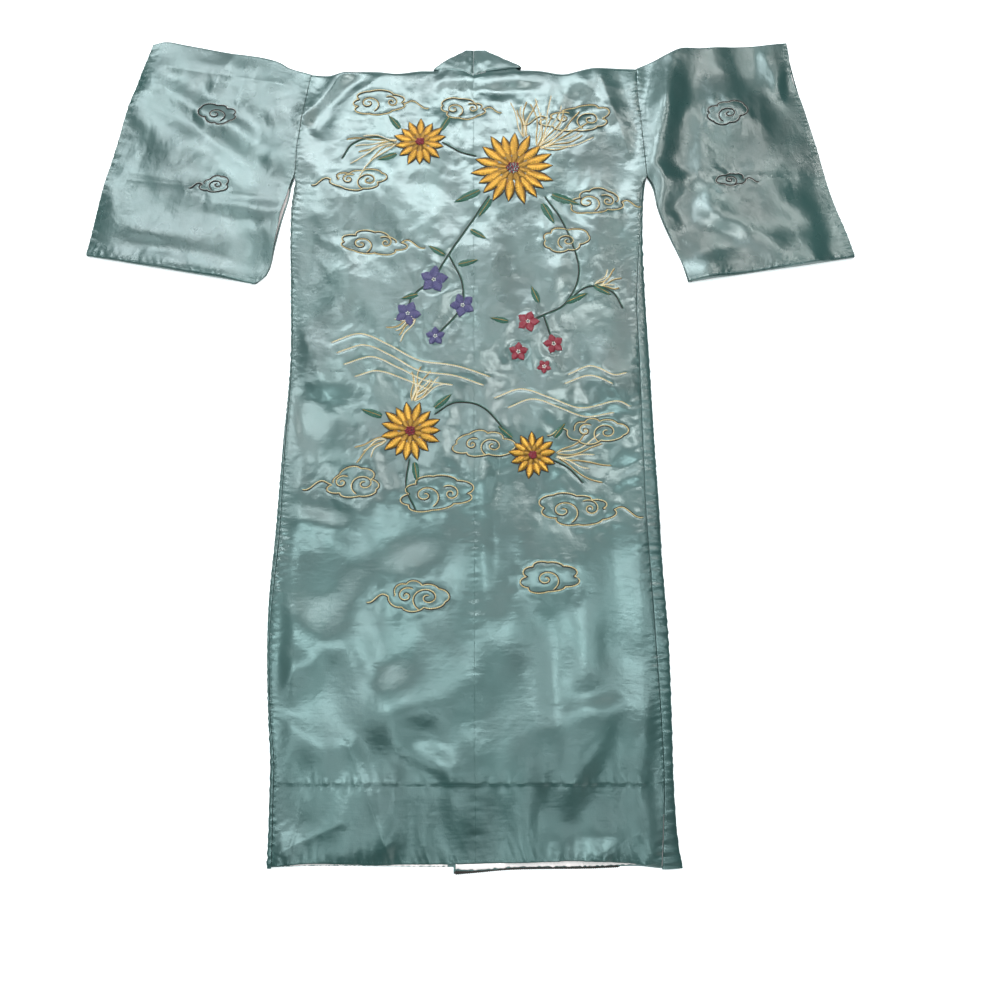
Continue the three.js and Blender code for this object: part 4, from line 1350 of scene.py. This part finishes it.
class OBJECT_OT_robe_flowers(bpy.types.Operator):
    """Embroiders the padded flowers, blossoms and leaves"""

    bl_idname = "object.robe_flowers"
    bl_label = "Flowers And Leaves"

    def execute(self, context):
        self.add_flowers()
        self.add_blossoms("violet_blossoms", VIOLET_BLOSSOMS, "violet", "violet_thread")
        self.add_blossoms("red_blossoms", RED_BLOSSOMS, "red", "red_thread")
        self.add_leaves()
        return {"FINISHED"}

    def add_flowers(self):
        pad = sizes().pad
        gold, amber, hearts, outlines = [], [], [], []
        for x, y, reach, outer, inner, turned in FLOWERS:
            for i in range(int(outer)):
                angle, long, wide = outer_petal(reach, outer, turned, i)
                gold.append(petal(outward(x, y, angle, PETAL_START * reach), angle, long, wide, pad, 0.9, i))
                outlines.append(petal_outline(x, y, reach, outer, turned, i))
            wide = 2.1 * math.pi * reach * 0.32 / inner
            for i in range(int(inner)):
                angle = 2 * math.pi * (i + 0.5) / inner + math.radians(turned)
                start = outward(x, y, angle, 0.14 * reach)
                amber.append(petal(start, angle, reach * 0.36, wide, pad * 0.9, 0.9, i))
            for i in range(HEART_KNOTS):
                away = 0.16 * reach * math.sqrt(i / HEART_KNOTS)
                hearts.append(knot(*outward(x, y, i * 2.4, away), 1.9, pad))
        add_thread("flower_outlines", cords(outlines, 0.75, 0, 0.6), thread("brown"))
        add_thread("flower_petals_outer", gold, thread("gold"))
        add_thread("flower_petals_inner", amber, thread("amber"))
        add_thread("flower_hearts", hearts, thread("red"))

    def add_leaves(self):
        pad = sizes().pad * 0.6
        leaves, veins = [], []
        for i, (x, y, direction, long, wide) in enumerate(LEAVES):
            angle = math.radians(direction)
            leaves.append(petal((x, y), angle, long, wide, pad, 0.75, i))
            veins.append(np.linspace((x, y), outward(x, y, angle, 0.9 * long), 12))
        add_thread("leaves", leaves, thread("green"))
        add_thread("leaf_veins", cords(veins, 0.45, 0, pad + 0.3), thread("gold"))

    def add_blossoms(self, name, table, colour, slot):
        petals, hearts = [], []
        for x, y, reach, turned in table:
            for i in range(5):
                angle = 2 * math.pi * i / 5 + math.radians(turned)
                start = outward(x, y, angle, 0.12 * reach)
                petals.append(petal(start, angle, reach * 0.88, reach * 0.74, sizes().pad * 0.6, 1.15, i))
                hearts.append(knot(*outward(x, y, angle + 0.5, 2.6), 1.2, 0.8))
        add_thread(name, petals, thread(colour))
        add_thread(name + "_hearts", hearts, thread("silver"))


def spray_paths():
    """Blades of grass that fan out from each base, each longer or shorter than the next."""
    blades = []
    for number, (x, y, first, last, count, long, bend) in enumerate(SPRAYS):
        for i in range(int(count)):
            share = i / max(1, count - 1)
            angle = math.radians(mix(first, last, share))
            reach = long * (0.82 + 0.18 * math.sin(2.6 * i + number))
            away = np.linspace(0.06, 1, 40)
            sway = bend * reach * away**2 + 2.4 * np.sin(away * 7 + i)
            blades.append(plan(*outward(x, y, angle, away * reach, sway)))
    return blades


class OBJECT_OT_robe_stems(bpy.types.Operator):
    """Embroiders the stems and the lines of flowing water"""

    bl_idname = "object.robe_stems"
    bl_label = "Stems And Water"

    def execute(self, context):
        radius = sizes().cord
        stems = [soft_path(stem) for stem in STEMS]
        water = [soft_path(line) for line in WATER]
        blades = spray_paths()
        rows = (
            ("grass_gold", blades, 0.75, 0.6, "pale_gold", "gold_thread"),
            ("grass_amber", blades[::2], 0.7, -0.8, "amber", "gold_thread"),
            ("grass_silver", blades[1::2], 0.7, -0.8, "silver", "silver_thread"),
            ("stem_cord_dark", stems, 1.1, -0.9, "brown", "dark_thread"),
            ("stem_cord_green", stems, 1.0, 1.0, "green", "green_thread"),
            ("water_cord_gold", water, 0.9, 0.8, "pale_gold", "gold_thread"),
            ("water_cord_silver", water, 0.8, -0.9, "silver", "silver_thread"),
        )
        for name, paths, thick, off, colour, slot in rows:
            add_thread(name, cords(paths, radius * thick, off * radius), thread(colour))
        return {"FINISHED"}


def thread(colour):
    """The finish of one thread colour."""
    shared = colours()
    if colour == "amber":
        return finish_named("amber_thread", thread_fill, shade(tuple(shared.gold), 0.62), 0.7)
    metal = {"gold": 0.8, "pale_gold": 0.2, "silver": 0.2}.get(colour, 0.05)
    rough = 0.6 if colour == "brown" else THREAD_ROUGH
    return finish_named(colour + "_thread", thread_fill, tuple(getattr(shared, colour)), metal, rough)


# Stitches that hold the seams
def seam_lines():
    """Plan paths of the sewn lines that show on the upper cloth."""
    y_side = np.linspace(6, 1098, 200)
    y_arm = np.linspace(1112, 1300, 60)
    s = np.linspace(0.02, 0.98, 60)
    x_hem = np.linspace(-288, 270, 160)
    lines = []
    for side in (-1, 1):
        lines.append(plan(body_side(side, y_side) - side * 3.2, y_side))
        lines.append(plan(body_side(side, y_arm) - side * 3.0, y_arm))
        lines.append(plan(*sleeve_plan(side, s, 0.02)))
        cuff_x, cuff_y = sleeve_plan(side, 1.0, np.linspace(0.04, 0.9, 60))
        lines.append(plan(cuff_x - side * 10, cuff_y + 0 * cuff_x))
    lines.append(plan(x_hem, read(BACK_HEM, x_hem) + 4))
    lines.append(plan(x_hem, 0 * x_hem + TUCK_Y - 2.5))
    return lines


def dashes(lines, long, gap, radius, lift, seed):
    """Single stitches along the lines, each with its own small turn and length."""
    rng = np.random.RandomState(seed)
    centre, ahead = [], []
    for line in lines:
        line = even(line, long + gap)
        turn = np.gradient(line, axis=0)
        centre.append(line)
        ahead.append(turn / np.linalg.norm(turn, axis=1, keepdims=True))
    centre, ahead = np.concatenate(centre), np.concatenate(ahead)
    count = len(centre)
    angle = 0.16 * rng.randn(count)
    cos, sin = np.cos(angle), np.sin(angle)
    ahead = plan(ahead[:, 0] * cos - ahead[:, 1] * sin, ahead[:, 0] * sin + ahead[:, 1] * cos)
    side = plan(-ahead[:, 1], ahead[:, 0])
    share = np.array([-0.5, -0.3, 0.3, 0.5]) * long
    thick = np.array([0.35, 1, 1, 0.35]) * radius
    dip = np.array([-0.5, 0.0, 0.0, -0.5])
    turn = np.linspace(0, 2 * math.pi, 4, endpoint=False)
    reach = share[None, :] * (1 + 0.15 * rng.randn(count))[:, None]
    line = centre[:, None, :] + ahead[:, None, :] * reach[..., None]
    height = lay(line[..., 0], line[..., 1]) + lift + dip
    flat = line[:, :, None, :] + side[:, None, None, :] * (thick[:, None] * np.cos(turn))[None, ..., None]
    up = np.broadcast_to(height[..., None] + (thick[:, None] * np.sin(turn))[None], flat.shape[:-1])
    points = np.concatenate([flat, up[..., None]], axis=-1).reshape(-1, 3)
    one = grid_faces_round(4, 4) + [(0, 1, 2, 3), (15, 14, 13, 12)]
    faces = [tuple(i + 16 * n for i in face) for n in range(count) for face in one]
    return points, faces, points[:, :2] * MM


class OBJECT_OT_robe_stitches(bpy.types.Operator):
    """Sews the side seams, armholes, sleeves, cuffs, tuck and hem"""

    bl_idname = "object.robe_stitches"
    bl_label = "Seam Stitches"

    def execute(self, context):
        made = dashes(seam_lines(), sizes().stitch, 1.4, 0.27, 0.05, 71)
        finish = finish_named("seam_thread", thread_fill, shade(tuple(colours().satin), 1.7), 0.1)
        add_thread("seam_stitches", [made], finish)
        return {"FINISHED"}


# Stage
class OBJECT_OT_robe_stage(bpy.types.Operator):
    """Sets the pale floor, the soft lights and the camera over the robe"""

    bl_idname = "object.robe_stage"
    bl_label = "Stage"

    def execute(self, context):
        stage = context.scene.robe_stage
        add_floor()
        add_camera(stage)
        add_lamps(stage)
        add_room_light(stage)
        context.scene.view_settings.view_transform = "Standard"
        return {"FINISHED"}


def add_floor():
    reach = 4.0
    corners = [(-reach, -reach, 0), (reach, -reach, 0), (reach, reach, 0), (-reach, reach, 0)]
    mesh = bpy.data.meshes.new("studio_floor")
    mesh.from_pydata(corners, [], [(0, 1, 2, 3)])
    mesh.materials.append(floor_finish("pale_floor"))
    floor = bpy.data.objects.new("studio_floor", mesh)
    bpy.context.scene.collection.objects.link(floor)


def add_camera(stage):
    foot = (CAMERA_FOOT + SHIFT) * MM
    camera = bpy.data.cameras.new("photo_camera")
    camera.lens = stage.lens
    camera.sensor_width = 36.0
    eye = bpy.data.objects.new("photo_camera", camera)
    eye.location = (foot[0], foot[1], stage.camera_high)
    eye.rotation_euler = (stage.camera_tilt, 0, 0)
    bpy.context.scene.collection.objects.link(eye)
    bpy.context.scene.camera = eye


def add_lamps(stage):
    """Window panes, soft boxes (warmer to the right, cooler towards the hem) and low lights."""
    for number, (x, y, wide, high, share) in enumerate(WINDOW_PANES):
        power, colour = stage.window * share, (0.9, 0.96, 1.0)
        add_light(f"window_pane_{number}", (x, y, PANE_HIGH), (-0.1, 0.2, 0), wide, high, power, colour)
    for number, (x, y, wide, high, power) in enumerate(SOFT_BOXES):
        warm = float(ease((x + 0.4) / 2) * ease((y - 0.1) / 1.0))
        cool = float(ease((1.4 - y) / 1.5))
        tint = (mix(0.95, 1.0, warm) - 0.17 * cool, mix(0.98, 0.92, warm), mix(1.0, 0.90, warm))
        add_light(f"soft_box_{number}", (x, y, BOX_HIGH), (0.5 * x, 0.3 * y, 0), wide, high, power, tint)
    for name, at, target, wide, high, power, colour in LOW_LIGHTS:
        add_light(name, at, target, wide, high, power, colour)


def add_room_light(stage):
    world = bpy.data.worlds.new("room_light")
    world.use_nodes = True
    back = world.node_tree.nodes["Background"]
    back.inputs["Color"].default_value = (0.92, 0.95, 1.0, 1)
    back.inputs["Strength"].default_value = stage.room
    bpy.context.scene.world = world


def add_light(name, at, target, wide, high, power, colour):
    lamp = bpy.data.lights.new(name, "AREA")
    lamp.shape = "RECTANGLE"
    lamp.size = wide
    lamp.size_y = high
    lamp.energy = power
    lamp.color = colour
    light = bpy.data.objects.new(name, lamp)
    light.location = at
    aim = Vector(target) - Vector(at)
    light.rotation_euler = aim.to_track_quat("-Z", "Y").to_euler()
    bpy.context.scene.collection.objects.link(light)


class VIEW3D_PT_robe(bpy.types.Panel):
    """Sidebar panel with the robe's settings and steps"""

    bl_idname = "VIEW3D_PT_robe"
    bl_label = "Satin Kimono Robe"
    bl_space_type = "VIEW_3D"
    bl_region_type = "UI"
    bl_category = "Robe"

    def draw(self, context):
        scene = context.scene
        for group in (scene.robe_sizes, scene.robe_colours, scene.robe_stage):
            box = self.layout.box()
            for key in group.__annotations__:
                box.prop(group, key)
        for step in STEPS:
            self.layout.operator(step.bl_idname)


STEPS = (
    OBJECT_OT_robe_back,
    OBJECT_OT_robe_fronts,
    OBJECT_OT_robe_sleeves,
    OBJECT_OT_robe_collar,
    OBJECT_OT_robe_linings,
    OBJECT_OT_robe_clouds,
    OBJECT_OT_robe_flowers,
    OBJECT_OT_robe_stems,
    OBJECT_OT_robe_stitches,
    OBJECT_OT_robe_stage,
)
CLASSES = (RobeSizes, RobeColours, RobeStage, *STEPS, VIEW3D_PT_robe)


def register():
    for cls in CLASSES:
        bpy.utils.register_class(cls)
    bpy.types.Scene.robe_sizes = PointerProperty(type=RobeSizes)
    bpy.types.Scene.robe_colours = PointerProperty(type=RobeColours)
    bpy.types.Scene.robe_stage = PointerProperty(type=RobeStage)


def unregister():
    del bpy.types.Scene.robe_sizes
    del bpy.types.Scene.robe_colours
    del bpy.types.Scene.robe_stage
    for cls in reversed(CLASSES):
        bpy.utils.unregister_class(cls)


def main():
    register()
    bpy.ops.object.robe_back()
    bpy.ops.object.robe_fronts()
    bpy.ops.object.robe_sleeves()
    bpy.ops.object.robe_collar()
    bpy.ops.object.robe_linings()
    bpy.ops.object.robe_clouds()
    bpy.ops.object.robe_flowers()
    bpy.ops.object.robe_stems()
    bpy.ops.object.robe_stitches()
    bpy.ops.object.robe_stage()


if __name__ == "__main__":
    main()
